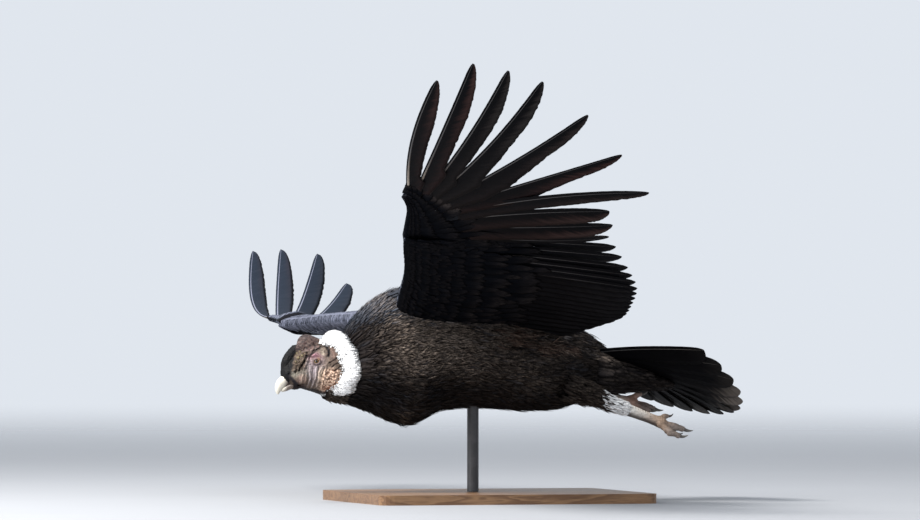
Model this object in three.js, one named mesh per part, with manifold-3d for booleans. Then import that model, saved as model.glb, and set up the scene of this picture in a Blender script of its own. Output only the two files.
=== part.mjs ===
// Andean condor, adult male in a banking glide, life size, on a plain display stand.
// Millimetres, +Z up. The bird flies towards -X, its left side faces -Y and its left wing is raised by the bank.
// Body coordinates used below: x towards the tail, o outwards from the midline, z up.
import * as THREE from "three";
import { mergeVertices } from "three/addons/utils/BufferGeometryUtils.js";
import Module from "manifold-3d";

const wasm = await Module();
wasm.setup();

// ---------- driving dimensions ----------
const BANK = THREE.MathUtils.degToRad(10); // roll of the whole bird, left wing up
const BODY_HEIGHT = 318; // height of the body axis over the floor
const GAP = 0.35; // clearance kept between touching pieces
const BASE = { x: 640, y: 540, z: 22, at: [40, -10] };
const ROD = { r: 13, at: [5, -6] };
const SHEET = 2.6; // thickness of a vane
const SPINE_TAIL = 255; // where the tail feathers root

// Trunk: x, top, bottom, half-width, height of the widest line
const TRUNK = [
  [-344, -34, -85, 40, -56],
  [-322, 8, -91, 42, -42],
  [-292, 66, -98, 68, -6],
  [-250, 106, -109, 106, 2],
  [-200, 138, -130, 122, 14],
  [-145, 154, -147, 130, 18],
  [-90, 158, -121, 132, 22],
  [-30, 154, -106, 128, 22],
  [50, 140, -108, 122, 14],
  [130, 118, -114, 110, 4],
  [200, 94, -111, 92, -6],
  [250, 74, -96, 70, -10],
  [292, 48, -78, 48, -12],
  [322, 24, -56, 30, -14],
];
const RUFF = [
  [-340, 46, -70, 50, -14],
  [-334, 57, -78, 66, -12],
  [-318, 65, -83, 77, -11],
  [-300, 68, -84, 83, -10],
  [-282, 65, -81, 82, -10],
  [-270, 52, -68, 66, -10],
];
const HEAD = [
  [-300, 46, -74, 56, -14],
  [-322, 46, -82, 57, -18],
  [-342, 38, -80, 49, -20],
  [-362, 33, -73, 41, -21],
  [-382, 29, -67, 37, -22],
  [-402, 19, -61, 31, -24],
  [-418, 4, -57, 25, -28],
  [-429, -12, -55, 19, -33],
  [-438, -27, -51, 12, -38],
];
// Comb: a fleshy keel from the cere over the crown; x, z of its middle, half-height, half-width, tilt of the section
const COMB = [
  [-434, -30, 6, 7, 75],
  [-428, -12, 12, 10, 68],
  [-419, 4, 15, 12, 52],
  [-403, 18, 18, 13, 34],
  [-385, 33, 19, 14, 14],
  [-369, 37, 19, 14, -8],
  [-357, 31, 13, 11, -32],
];
// Bill: x, z of the middle, half-height, half-width, tilt
const BILL_UPPER = [
  [-424, -42, 15, 15, 40],
  [-433, -47, 13, 13, 42],
  [-441, -53, 11.5, 11, 52],
  [-446, -61, 9, 8.5, 66],
  [-448.5, -69, 6, 5.5, 80],
  [-449, -76, 2.2, 2.2, 92],
];
const BILL_LOWER = [
  [-414, -56, 7, 14, 34],
  [-425, -61, 6.5, 11.5, 34],
  [-434, -65, 5.5, 8.5, 34],
  [-440, -68.5, 3.2, 5, 36],
];
const EYE = { x: -366, o: 36, z: -10, r: 8.6 };

// Wing: leading edge from shoulder to wrist, and trailing edge tips of the secondaries (share of span, x, o, z)
const SHOULDER = [-186, 66, 108];
const WRIST = [-262, 560, 192];
const TRAILING = [
  [0, 178, 576, 163],
  [0.15, 230, 507, 118],
  [0.3, 268, 438, 88],
  [0.5, 282, 347, 66],
  [0.7, 286, 256, 54],
  [0.85, 250, 188, 48],
  [1, 215, 118, 44],
];
const SECONDARIES = 18;
const ARM_THICK = [66, 54, 46, 40]; // thickest part of the arm from root to wrist
const ATTACH = [12, 32, 54, 76, 98, 120, 145, 172, 199, 224]; // primaries 1 to 10 along the hand, from the wrist
const BEHIND = [8, 8, 8, 8, 8, 8, 8, 6, 0, -8]; // and behind the axis of the hand
// Each hand: direction of the manus, the rearward direction and the normal of its plane (x, o, z),
// and primaries 1 to 10 as fan angle, length, upward bend at the tip and sweep, in degrees and mm.
const HANDS = {
  left: {
    m: [-0.295, 0.935, 0.197],
    r: [0.929, 0.329, -0.169],
    n: [0.222, -0.133, 0.966],
    feathers: [
      [92.5, 414, 19, 14],
      [74, 427, 13, 26],
      [57.7, 453, 5, 29],
      [48, 596, 2, 30],
      [42, 586, 13, 22],
      [33.2, 610, 21, 14],
      [25.7, 623, 27, 4],
      [19.2, 631, 24, 2],
      [11.9, 607, 24.5, 5.4],
      [1.7, 551, 15.5, 17],
    ],
  },
  right: {
    m: [0.096, 0.983, 0.155],
    r: [0.965, -0.054, -0.257],
    n: [0.244, -0.174, 0.954],
    feathers: [
      [80, 425, 16, 3],
      [70, 444, 18, 4],
      [60, 470, 21, 3],
      [50, 540, 27, 1],
      [39.5, 568, 31, 0],
      [29.8, 605, 34, 0],
      [19, 634, 35.5, 2.5],
      [14, 642, 49, -4],
      [8.2, 614, 48.5, -9],
      [-3.2, 548, 48, 4.5],
    ],
  },
};
const SLOTS = [0, 0, 0.8, 0.56, 0.49, 0.44, 0.36, 0.36, 0.22]; // share of each primary where the next one parts from it
const OUTER_VANE = 4.5; // width of a free primary before and behind its shaft
const INNER_VANE = 35;

// Tail: twelve rectrices from the left side round to the right
const TAIL = {
  root: [SPINE_TAIL, 0, 18],
  spread: 48,
  centre: 392,
  outer: 344,
  drop: 20.5,
  liftLeft: 14,
  liftRight: 9,
};
// Coverts over and under the roots of the tail feathers
const TAIL_COVERTS = [
  [266, 52, -80, 50, -14],
  [294, 40, -88, 56, -24],
  [340, 8, -78, 54, -36],
  [400, -22, -71, 48, -50],
  [446, -44, -69, 36, -58],
  [472, -58, -67, 20, -63],
];

// Legs, trailing under the tail: the shin from knee to ankle (x, o, z, radius), then the root of the toes
const LEGS = {
  left: {
    shin: [[188, 60, -66, 46], [230, 60, -80, 34], [266, 60, -91, 26], [305, 56, -109, 21], [340, 50, -119, 18.5]],
    toes: [430, 42, -152],
  },
  right: {
    shin: [[180, 58, -56, 44], [215, 57, -62, 33], [245, 55, -66, 26], [272, 51, -70, 20], [300, 46, -74, 18]],
    toes: [388, 36, -92],
  },
};

// ---------- small maths ----------
const V = (x, y, z) => new THREE.Vector3(x, y, z);
const A = (a) => V(a[0], a[1], a[2]);
const deg = THREE.MathUtils.degToRad;
const clamp = THREE.MathUtils.clamp;
const mix = (a, b, t) => a + (b - a) * t;

// Catmull-Rom through rows of numbers; t from 0 to 1 over the rows
function along(rows, t) {
  const n = rows.length - 1;
  const x = clamp(t, 0, 1) * n;
  const i = Math.min(Math.floor(x), n - 1);
  const f = x - i;
  const at = (k) => rows[clamp(k, 0, n)];
  return rows[0].map((_, c) => {
    const [a, b, d, e] = [at(i - 1)[c], at(i)[c], at(i + 1)[c], at(i + 2)[c]];
    return 0.5 * (2 * b + (d - a) * f + (2 * a - 5 * b + 4 * d - e) * f * f + (3 * b - a - 3 * d + e) * f * f * f);
  });
}
// The same, looked up by the first column
function tableAt(rows, key) {
  let i = 0;
  while (i < rows.length - 2 && rows[i + 1][0] < key) i++;
  const f = (key - rows[i][0]) / (rows[i + 1][0] - rows[i][0]);
  return along(rows, (i + clamp(f, 0, 1)) / (rows.length - 1));
}

// ---------- solids ----------
// Closed surface through rings of equal count, capped by fans
function loft(rings) {
  const n = rings[0].length;
  const pos = [];
  const idx = [];
  rings.forEach((r) => r.forEach((p) => pos.push(p.x, p.y, p.z)));
  for (let i = 0; i < rings.length - 1; i++)
    for (let j = 0; j < n; j++) {
      const a = i * n + j, b = i * n + ((j + 1) % n), c = a + n, d = b + n;
      idx.push(a, b, d, a, d, c);
    }
  [0, rings.length - 1].forEach((k, end) => {
    const c = rings[k].reduce((s, p) => s.add(p), V(0, 0, 0)).divideScalar(n);
    const ci = pos.length / 3;
    pos.push(c.x, c.y, c.z);
    for (let j = 0; j < n; j++) {
      const a = k * n + j, b = k * n + ((j + 1) % n);
      end ? idx.push(a, b, ci) : idx.push(b, a, ci);
    }
  });
  return closed(pos, idx);
}
// Closed slab over a grid of {p, n, t}: point, normal and thickness
function slab(grid) {
  const R = grid.length, C = grid[0].length;
  const pos = [];
  const idx = [];
  [1, -1].forEach((s) =>
    grid.forEach((row) => row.forEach((g) => {
      const q = g.p.clone().addScaledVector(g.n, (s * g.t) / 2);
      pos.push(q.x, q.y, q.z);
    })),
  );
  const at = (s, i, j) => s * R * C + i * C + j;
  for (let i = 0; i < R - 1; i++)
    for (let j = 0; j < C - 1; j++) {
      idx.push(at(0, i, j), at(0, i, j + 1), at(0, i + 1, j + 1), at(0, i, j), at(0, i + 1, j + 1), at(0, i + 1, j));
      idx.push(at(1, i, j), at(1, i + 1, j + 1), at(1, i, j + 1), at(1, i, j), at(1, i + 1, j), at(1, i + 1, j + 1));
    }
  const wall = (i, j, k, l) => idx.push(at(0, i, j), at(1, k, l), at(0, k, l), at(0, i, j), at(1, i, j), at(1, k, l));
  for (let j = 0; j < C - 1; j++) { wall(0, j, 0, j + 1); wall(R - 1, j + 1, R - 1, j); }
  for (let i = 0; i < R - 1; i++) { wall(i + 1, 0, i, 0); wall(i, C - 1, i + 1, C - 1); }
  return closed(pos, idx);
}
function closed(pos, idx) {
  const g = new THREE.BufferGeometry();
  g.setAttribute("position", new THREE.Float32BufferAttribute(pos, 3));
  g.setIndex(idx);
  return g;
}
// three.js geometry -> solid, turned to face outwards
function solid(geometry, flip = false) {
  const g = geometry.clone();
  ["normal", "uv"].forEach((k) => g.getAttribute(k) && g.deleteAttribute(k));
  const m = mergeVertices(g, 1e-4);
  const tri = new Uint32Array(m.index.array);
  if (flip) for (let i = 0; i < tri.length; i += 3) [tri[i + 1], tri[i + 2]] = [tri[i + 2], tri[i + 1]];
  const s = new wasm.Manifold(new wasm.Mesh({ numProp: 3, vertProperties: new Float32Array(m.attributes.position.array), triVerts: tri }));
  return !flip && s.volume() < 0 ? solid(geometry, true) : s;
}
function geometryOf(s) {
  const m = s.getMesh();
  const v = new Float32Array(m.numVert * 3);
  for (let i = 0; i < m.numVert; i++) v.set(m.vertProperties.subarray(i * m.numProp, i * m.numProp + 3), i * 3);
  const g = new THREE.BufferGeometry();
  g.setAttribute("position", new THREE.BufferAttribute(v, 3));
  g.setIndex(new THREE.BufferAttribute(new Uint32Array(m.triVerts), 1));
  return g;
}

// A solid moved, turned or mirrored by a matrix
function moved(s, matrix) {
  const g = geometryOf(s).applyMatrix4(matrix);
  return solid(g, matrix.determinant() < 0);
}
const shift = (x, y, z) => new THREE.Matrix4().makeTranslation(x, y, z);

// Cross-sections square to x: top, bottom, half-width and height of the widest line
function bodyOf(rows, sides, rings, grow = 0) {
  const ahead = Math.sign(rows[rows.length - 1][0] - rows[0][0]);
  const out = [];
  for (let k = 0; k <= rings; k++) {
    const [x0, top, bot, w, mid] = along(rows, k / rings);
    const x = x0 + ahead * (k === 0 ? -grow : k === rings ? grow : 0);
    out.push(Array.from({ length: sides }, (_, j) => {
      const a = ((j + 0.5) / sides) * 2 * Math.PI;
      const c = Math.cos(a), s = Math.sin(a);
      const e = 0.92;
      const y = Math.sign(c) * Math.abs(c) ** e * (w + grow);
      const h = s > 0 ? top + grow - mid : mid - (bot - grow);
      return V(x, y, mid + Math.sign(s) * Math.abs(s) ** e * h);
    }));
  }
  return solid(loft(out));
}
// Sections along a path in the middle plane: x, z, half-height, half-width, tilt of the section in degrees
function midline(rows, sides, rings, grow = 0, offset = 0) {
  const cuts = Array.from({ length: rings + 1 }, (_, k) => along(rows, k / rings));
  const out = cuts.map(([x, z, h, w, tilt], k) => {
    const u = V(-Math.sin(deg(tilt)), 0, Math.cos(deg(tilt)));
    const [a, b] = [cuts[Math.max(0, k - 1)], cuts[Math.min(rings, k + 1)]];
    const f = V(b[0] - a[0], 0, b[1] - a[1]).normalize().multiplyScalar(k === 0 ? -grow : k === rings ? grow : 0);
    return Array.from({ length: sides }, (_, j) => {
      const c = ((j + 0.5) / sides) * 2 * Math.PI;
      return V(x, offset + Math.cos(c) * (w + grow), z).addScaledVector(u, Math.sin(c) * (h + grow)).add(f);
    });
  });
  return solid(loft(out));
}
// Round limb through points with radii
function limb(points, radii, sides, rings, grow = 0, flat = 1) {
  const curve = new THREE.CatmullRomCurve3(points, false, "centripetal");
  const out = [];
  for (let k = 0; k <= rings; k++) {
    const t = k / rings;
    const p = curve.getPoint(t);
    const d = curve.getTangent(t);
    const side = V(0, 1, 0).cross(d).normalize();
    const up = d.clone().cross(side).normalize();
    const [r] = along(radii.map((q) => [q]), t);
    const end = k === 0 ? -grow : k === rings ? grow : 0;
    out.push(Array.from({ length: sides }, (_, j) => {
      const a = ((j + 0.5) / sides) * 2 * Math.PI;
      return p.clone().addScaledVector(side, Math.cos(a) * (r + grow)).addScaledVector(up, Math.sin(a) * (r * flat + grow)).addScaledVector(d, end);
    }));
  }
  return solid(loft(out));
}

// ---------- feathers ----------
// Centreline of a flight feather that bends towards n and sweeps in its plane
function shaft(base, d, n, length, bend, sweep, steps = 24) {
  const r = d.clone().cross(n);
  const pts = [{ p: base.clone(), d: d.clone(), n: n.clone() }];
  let p = base.clone();
  for (let i = 0; i < steps; i++) {
    const s = (i + 0.5) / steps;
    const a = deg(bend) * s ** 1.6;
    const b = deg(sweep) * s ** 1.5;
    const flat = d.clone().multiplyScalar(Math.cos(b)).addScaledVector(r, Math.sin(b));
    const dir = flat.clone().multiplyScalar(Math.cos(a)).addScaledVector(n, Math.sin(a));
    p = p.clone().addScaledVector(dir, length / steps);
    const nn = n.clone().multiplyScalar(Math.cos(a)).addScaledVector(flat, -Math.sin(a));
    pts.push({ p, d: dir, n: nn });
  }
  return (t) => {
    const x = clamp(t, 0, 1) * steps;
    const i = Math.min(Math.floor(x), steps - 1);
    const [a, b] = [pts[i], pts[i + 1]];
    return { p: a.p.clone().lerp(b.p, x - i), d: a.d.clone().lerp(b.d, x - i).normalize(), n: a.n.clone().lerp(b.n, x - i).normalize() };
  };
}
// Width of a free primary against its widest, share t from where it parts to its tip
const vaneTaper = (t) => (t < 0.6 ? 1 : Math.sqrt(Math.max(0, 1 - ((t - 0.6) / 0.41) ** 2.1)));

function wing(side) {
  const H = HANDS[side];
  const [m, r, n] = [A(H.m), A(H.r), A(H.n)];
  const wrist = A(WRIST);
  const shoulder = A(SHOULDER);
  const prim = H.feathers.map(([fan, len, bend, sweep], i) => {
    const d = m.clone().multiplyScalar(Math.cos(deg(fan))).addScaledVector(r, Math.sin(deg(fan)));
    const base = wrist.clone().addScaledVector(m, ATTACH[i]).addScaledVector(r, BEHIND[i]);
    return { at: shaft(base, d, n, len, bend, sweep), len, d };
  });

  // inner wing: mid-surface from the leading edge to the trailing edge; s from the wrist (0) to the body (1)
  const lead = (s) => wrist.clone().lerp(shoulder, s).add(V(-34 * (1 - s) + 10 * Math.sin(Math.PI * s) ** 2, 0, -14 * (1 - s) + 6 * Math.sin(Math.PI * s)));
  const twist = side === "right" ? -26 : 0; // the lowered hand takes the outer secondaries down with it
  const trail = (s) => { const q = tableAt(TRAILING, s); return V(q[1], q[2], q[3] + twist * (1 - s) ** 3); };
  const armAt = (s, q) => {
    const a = lead(s), b = trail(s);
    const chord = b.clone().sub(a);
    const spanDir = wrist.clone().sub(shoulder).normalize();
    const nn = chord.clone().normalize().cross(spanDir).normalize();
    if (nn.z < 0) nn.negate();
    const arch = mix(8, -6, s) * 4 * q * (1 - q) * (1 - 0.35 * q);
    return { p: a.addScaledVector(chord, q).addScaledVector(nn, arch), n: nn, len: chord.length() };
  };
  const armThick = (s, q) => {
    const [t] = along(ARM_THICK.slice().reverse().map((k) => [k]), s);
    const shape = q < 0.1 ? Math.sqrt(clamp(q / 0.1, 0, 1) * 0.94 + 0.06) : Math.cos((clamp((q - 0.1) / 0.52, 0, 1) * Math.PI) / 2) ** 0.9;
    return Math.max(SHEET + 1.5, t * shape);
  };
  const plate = [];
  for (const q of [0, 0.04, 0.13, 0.3, 0.6]) {
    const row = [];
    for (let k = 0; k <= 6; k++) {
      const s = k / 6;
      const g = armAt(s, q);
      row.push({ p: g.p, n: g.n, t: armThick(s, q) });
    }
    plate.push(row);
  }
  // the serrated sheet of secondaries: a tip and a notch for each feather
  const vanes = [];
  for (const q of [0.45, 0.72, 1]) {
    const row = [];
    for (let k = 0; k <= 2 * SECONDARIES; k++) {
      const s = k / (2 * SECONDARIES);
      const g = armAt(s, q === 1 ? (k % 2 ? 1 : 0.965) : q);
      row.push({ p: g.p, n: g.n, t: q === 1 ? 1.4 : SHEET });
    }
    vanes.push(row);
  }
  const inner = solid(slab(plate)).add(solid(slab(vanes)));

  // hand: a thick plate of bone and coverts, then the primaries to where they part
  const colsAt = (c) => {
    // c from 0 (primary 1) to 9 (primary 10), between feathers the mean of both
    const i = Math.floor(c), f = c - i;
    return (t) => {
      const a = prim[i].at(t);
      if (f < 1e-6) return a;
      const b = prim[i + 1].at(t);
      return { p: a.p.lerp(b.p, f), n: a.n.lerp(b.n, f).normalize(), d: a.d.lerp(b.d, f).normalize() };
    };
  };
  const handPlate = [];
  const handThick = (c) => mix(34, 13, clamp(c / 9, 0, 1));
  for (const q of [-1, -0.75, -0.1, 0.5, 1]) {
    const row = [];
    for (let k = -1; k <= 9; k++) {
      const c = Math.max(k, 0);
      const g = colsAt(c)(q > 0 ? (q * mix(150, 60, (c / 9) ** 1.5)) / prim[c].len : 0);
      const p = g.p.clone();
      if (q < 0) p.addScaledVector(r, q * mix(40, 17, c / 9)).addScaledVector(m, q * mix(0, 10, c / 9)).addScaledVector(n, q * mix(14, 4, c / 9));
      if (k < 0) p.addScaledVector(m, -11);
      const t = handThick(c) * (q < -0.9 ? 0.3 : q < 0 ? 0.86 : Math.cos((q * Math.PI) / 2) * 0.9 + 0.16);
      row.push({ p, n: g.n.clone(), t: Math.max(SHEET + 1.2, t) });
    }
    handPlate.push(row);
  }
  // where primary i+1 parts from primary i: on the front edge of primary i
  const front = (g) => { const w = g.d.clone().cross(g.n).normalize(); return w.dot(r) > 0 ? w.negate() : w; };
  const slotPoint = (i) => {
    const g = prim[i].at(i < 9 ? SLOTS[i] : 0.13);
    return { p: g.p.clone().addScaledVector(front(g), OUTER_VANE), n: g.n };
  };
  const nearest = (i, p) => {
    let best = 1e9, at = 0;
    for (let t = 0; t <= 1; t += 0.01) { const e = prim[i].at(t).p.distanceTo(p); if (e < best) { best = e; at = t; } }
    return { t: at, e: best };
  };
  // each finger starts on a slanted line: its rear slot, its shaft, its front slot
  const feet = [];
  for (let i = 3; i < 10; i++) {
    const [a, b] = [slotPoint(i - 1), slotPoint(i)];
    const tr = nearest(i, a.p).t;
    const tf = i < 9 ? SLOTS[i] : 0.13;
    const tm = mix(tf, tr, 0.25);
    feet[i] = { a, b, tr, tf, tm, mid: prim[i].at(tm) };
  }
  const fan = [];
  for (const q of [0.25, 0.6, 1]) {
    const row = [];
    const push = (p, n2, t = SHEET) => row.push({ p: p.clone(), n: n2.clone(), t });
    // inner primaries keep their full length, a notch between tips
    for (let i = 0; i < 3; i++) {
      const g = prim[i].at(q);
      if (i === 0) { const e = armAt(0, 0.06 + 0.9 * q); push(e.p.addScaledVector(m, 1), e.n); }
      push(g.p, g.n, q === 1 ? 1.4 : SHEET);
      if (i < 2) { const h = colsAt(i + 0.5)(q * 0.955); push(h.p, h.n); }
    }
    const s2 = slotPoint(2);
    push(prim[2].at(0.05).p.lerp(s2.p, q), s2.n);
    for (let i = 3; i < 10; i++) {
      const f = feet[i];
      const from = prim[i].at(0.05);
      push(from.p.clone().lerp(f.mid.p, q), f.mid.n);
      push(from.p.clone().addScaledVector(front(from), OUTER_VANE).lerp(f.b.p, q), f.b.n);
    }
    fan.push(row);
  }
  let hand = solid(slab(handPlate)).add(solid(slab(fan)));

  // fingers: primaries 4 to 10, free from their slots to their tips
  const fingers = {};
  for (let i = 3; i < 10; i++) {
    const f = feet[i];
    const root = nearest(i, f.a.p).e;
    const stops = [0, 0.08, 0.22, 0.4, 0.6, 0.78, 0.92, 1];
    const grid = stops.map((q, k) => {
      const [gr, gm, gf] = [f.tr, f.tm, f.tf].map((t) => prim[i].at(mix(t, 1, q)));
      const room = nearest(i - 1, gr.p).e - OUTER_VANE - 2.5;
      const taper = vaneTaper(q);
      const back = k === stops.length - 1 ? 1.6 : Math.min(room, mix(root, INNER_VANE, clamp(q / 0.55, 0, 1) ** 0.8)) * taper;
      const fore = k === stops.length - 1 ? 1 : OUTER_VANE * Math.max(taper, 0.5);
      const t = mix(SHEET, 1.2, q);
      const row = [
        { p: gr.p.clone().addScaledVector(front(gr), -back), n: gr.n.clone(), t },
        { p: gm.p.clone(), n: gm.n.clone(), t: t + 1 },
        { p: gf.p.clone().addScaledVector(front(gf), fore), n: gf.n.clone(), t },
      ];
      if (k === 0) row.forEach((c, j) => c.p.addScaledVector([gr, gm, gf][j].d, 0.7).addScaledVector(front(gr), j ? 0 : 1.2));
      return row;
    });
    fingers[i + 1] = solid(slab(grid));
    const d = f.mid.d.clone().multiplyScalar(-0.5);
    hand = hand.subtract(moved(fingers[i + 1], shift(d.x, d.y, d.z)));
  }
  return { inner, hand, fingers };
}

function tail() {
  const root = A(TAIL.root);
  const feathers = Array.from({ length: 12 }, (_, k) => {
    const f = 1 - (2 * k) / 11; // +1 at the left edge
    const fan = deg(TAIL.spread * f);
    const down = deg(TAIL.drop - (f > 0 ? TAIL.liftLeft : TAIL.liftRight) * f * f);
    const d = V(Math.cos(fan) * Math.cos(down), -Math.sin(fan) * Math.cos(down), -Math.sin(down));
    const n = V(Math.sin(down), 0, Math.cos(down)).normalize();
    const len = mix(TAIL.centre, TAIL.outer, f * f);
    return { d, n, len, f, fan };
  });
  const rows = [];
  for (const q of [0.13, 0.5, 0.9, 1]) {
    const row = [];
    feathers.forEach((k, i) => {
      const across = V(-Math.sin(k.fan), -Math.cos(k.fan), 0);
      const c = root.clone().addScaledVector(k.d, k.len * (q === 1 ? 1 : q)).add(V(0, 0, 10 * Math.sin(Math.PI * q)));
      row.push({ p: c.clone(), n: k.n.clone(), t: q === 1 ? 1.4 : SHEET });
      if (i < 11) {
        const j = feathers[i + 1];
        const c2 = root.clone().addScaledVector(j.d, j.len * q).add(V(0, 0, 10 * Math.sin(Math.PI * q)));
        const g = c.clone().lerp(c2, 0.5);
        if (q === 1) g.lerp(root, 0.045);
        row.push({ p: g, n: k.n.clone().lerp(j.n, 0.5).normalize(), t: q === 1 ? 1.4 : SHEET });
      }
      if (i === 0) row.unshift({ p: c.clone().addScaledVector(across, q > 0.95 ? 10 : 18 * Math.min(1, q * 2)), n: k.n.clone(), t: SHEET });
      if (i === 11) row.push({ p: c.clone().addScaledVector(across, q > 0.95 ? -10 : -18 * Math.min(1, q * 2)), n: k.n.clone(), t: SHEET });
    });
    rows.push(row);
  }
  const fanSolid = solid(slab(rows));
  const coverts = bodyOf(TAIL_COVERTS, 10, 5);
  return fanSolid.add(coverts);
}

// Feet: three front toes trailing and bent upwards, and a short hind toe, each with a claw.
// Each bone of a toe is an angle against the horizontal and a length; the claw has an angle, a length and a curl.
const TOES = [
  { name: "outer", o: 12, lift: -2, spread: 0.14, bones: [[-42, 24], [-25, 20]], claw: [-12, 22, 42], r: 7.8 },
  { name: "middle", o: 1, lift: 2, spread: 0.02, bones: [[-17, 29], [-14, 21]], claw: [-20, 24, 30], r: 8.6 },
  { name: "inner", o: -10, lift: 0, spread: -0.22, bones: [[-31, 22], [-18, 17]], claw: [-14, 22, 40], r: 7.6 },
  { name: "hind", o: -3, lift: 9, spread: -0.3, bones: [[24, 11], [10, 8]], claw: [6, 18, 46], r: 6.4 },
];
function foot(side) {
  const root = A(LEGS[side].toes);
  const claws = {};
  let body = null;
  for (const t of TOES) {
    const step = (p, angle, length) => p.clone().add(V(Math.cos(deg(angle)), t.spread, Math.sin(deg(angle))).setLength(length));
    const base = root.clone().add(V(-7, t.o * 0.5, t.lift));
    const k1 = step(base, t.bones[0][0], t.bones[0][1] + 7);
    const k2 = step(k1, ...t.bones[1]);
    const toe = limb([base, base.clone().lerp(k1, 0.55), k1, k1.clone().lerp(k2, 0.5), k2], [t.r * 1.05, t.r * 0.92, t.r * 1.08, t.r * 0.86, t.r * 0.7], 6, 4);
    const [angle, length, curl] = t.claw;
    const path = [step(k2, angle, -3), k2];
    for (let j = 0; j < 3; j++) path.push(step(path[path.length - 1], angle + curl * (j - 0.4) * 0.5, length / 3));
    claws[t.name] = limb(path, [t.r * 0.56, t.r * 0.54, t.r * 0.44, t.r * 0.28, 0.8], 5, 4);
    body = body ? body.add(toe) : toe;
  }
  return { body, claws };
}

// ---------- assembly ----------
const COLOURS = {
  plumage: ["#1b1817", 0.85], flight: ["#141416", 0.55], white: ["#f2efe8", 0.95], skin: ["#5d4b45", 0.6], comb: ["#4b3f3d", 0.7],
  ivory: ["#e9e2cf", 0.4], eye: ["#7a4a12", 0.15], leg: ["#cfc6ba", 0.8], foot: ["#9b8672", 0.7], claw: ["#2a2526", 0.4], stand: ["#3a3c40", 0.5],
};
const bird = new THREE.Group();
bird.rotation.x = -BANK;
bird.position.z = BODY_HEIGHT;
const model = new THREE.Group();
model.add(bird);
function put(name, s, colour, group = bird) {
  const g = geometryOf(s);
  const [c, rough] = COLOURS[colour];
  const mesh = new THREE.Mesh(g, new THREE.MeshStandardMaterial({ color: c, roughness: rough, metalness: 0 }));
  mesh.name = name;
  group.add(mesh);
  return s;
}
// Body coordinates -> right side keeps o as +Y, left side turns it to -Y
const MIRROR = new THREE.Matrix4().makeScale(1, -1, 1);
const toSide = (s, side) => (side === "right" ? s : moved(s, MIRROR));

const ruff = bodyOf(RUFF, 16, 6);
const ruffG = bodyOf(RUFF, 16, 6, GAP);
const trunkFull = bodyOf(TRUNK, 16, 14);
const trunkG = bodyOf(TRUNK, 16, 14, GAP);
const trunk = trunkFull.subtract(ruffG);
put("ruff", ruff, "white");
put("trunk", trunk, "plumage");

const eyeball = (r, o) => solid(new THREE.SphereGeometry(r, 8, 6).translate(EYE.x, o, EYE.z));
const billU = midline(BILL_UPPER, 10, 7);
const billUG = midline(BILL_UPPER, 10, 7, GAP);
const billL = midline(BILL_LOWER, 8, 4).subtract(billUG);
const billLG = midline(BILL_LOWER, 8, 4, GAP);
const combG = midline(COMB, 10, 8, GAP);
let head = bodyOf(HEAD, 12, 8).subtract(ruffG).subtract(trunkG);
head = head.subtract(billUG).subtract(billLG).subtract(combG).subtract(eyeball(EYE.r + GAP, EYE.o)).subtract(eyeball(EYE.r + GAP, -EYE.o));
put("head", head, "skin");
put("comb", midline(COMB, 10, 8).subtract(billUG).subtract(ruffG), "comb");
put("beak_upper", billU, "ivory");
put("beak_lower", billL, "ivory");
put("eye_left", eyeball(EYE.r, -EYE.o), "eye");
put("eye_right", eyeball(EYE.r, EYE.o), "eye");

const legsG = [];
for (const side of ["left", "right"]) {
  const L = LEGS[side];
  const shinPts = L.shin.map(([x, o, z]) => V(x, o, z));
  const shinR = L.shin.map((q) => q[3]);
  const a = shinPts[4], t = A(L.toes);
  const tarPts = [a.clone().lerp(t, -0.07), a.clone().lerp(t, 0.3), a.clone().lerp(t, 0.7), t.clone().lerp(a, 0.02)];
  const tarR = [15.5, 13.6, 12.4, 13.5];
  const shin = (grow) => limb(shinPts, shinR, 10, 6, grow);
  const tarsus = (grow) => limb(tarPts, tarR, 10, 5, grow, 1.08);
  const f = foot(side);
  put("leg_" + side + "_shin", toSide(shin(0).subtract(tarsus(GAP)), side).subtract(trunkG), "plumage");
  put("leg_" + side + "_tarsus", toSide(tarsus(0), side), "leg");
  put("foot_" + side, toSide(f.body.subtract(tarsus(GAP)), side), "foot");
  for (const [n, q] of Object.entries(f.claws)) put("claw_" + side + "_" + n, toSide(moved(q.subtract(f.body), shift(GAP, 0, 0)), side), "claw");
  legsG.push(shin(GAP), tarsus(GAP));
  for (const up of [-0.5, 0.8]) legsG.push(moved(f.body, shift(0, 0, up)), ...Object.values(f.claws).map((q) => moved(q, shift(GAP, 0, up))));
  for (let j = legsG.length - 1; side === "left" && j >= 0; j--) legsG[j] = moved(legsG[j], MIRROR);
}

let tailS = tail().subtract(trunkG);
for (const g of legsG) tailS = tailS.subtract(g);
put("tail", tailS, "flight");

for (const side of ["left", "right"]) {
  const w = wing(side);
  put("wing_" + side + "_inner", toSide(w.inner, side).subtract(trunkG), "plumage");
  const apart = A(HANDS[side].m).multiplyScalar(GAP + 0.2);
  const hand = w.hand.subtract(w.inner).subtract(moved(w.inner, shift(apart.x, apart.y, apart.z)));
  put("wing_" + side + "_hand", toSide(hand, side), "plumage");
  for (const [k, f] of Object.entries(w.fingers)) put("wing_" + side + "_primary_" + k, toSide(f, side), "flight");
}

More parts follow.
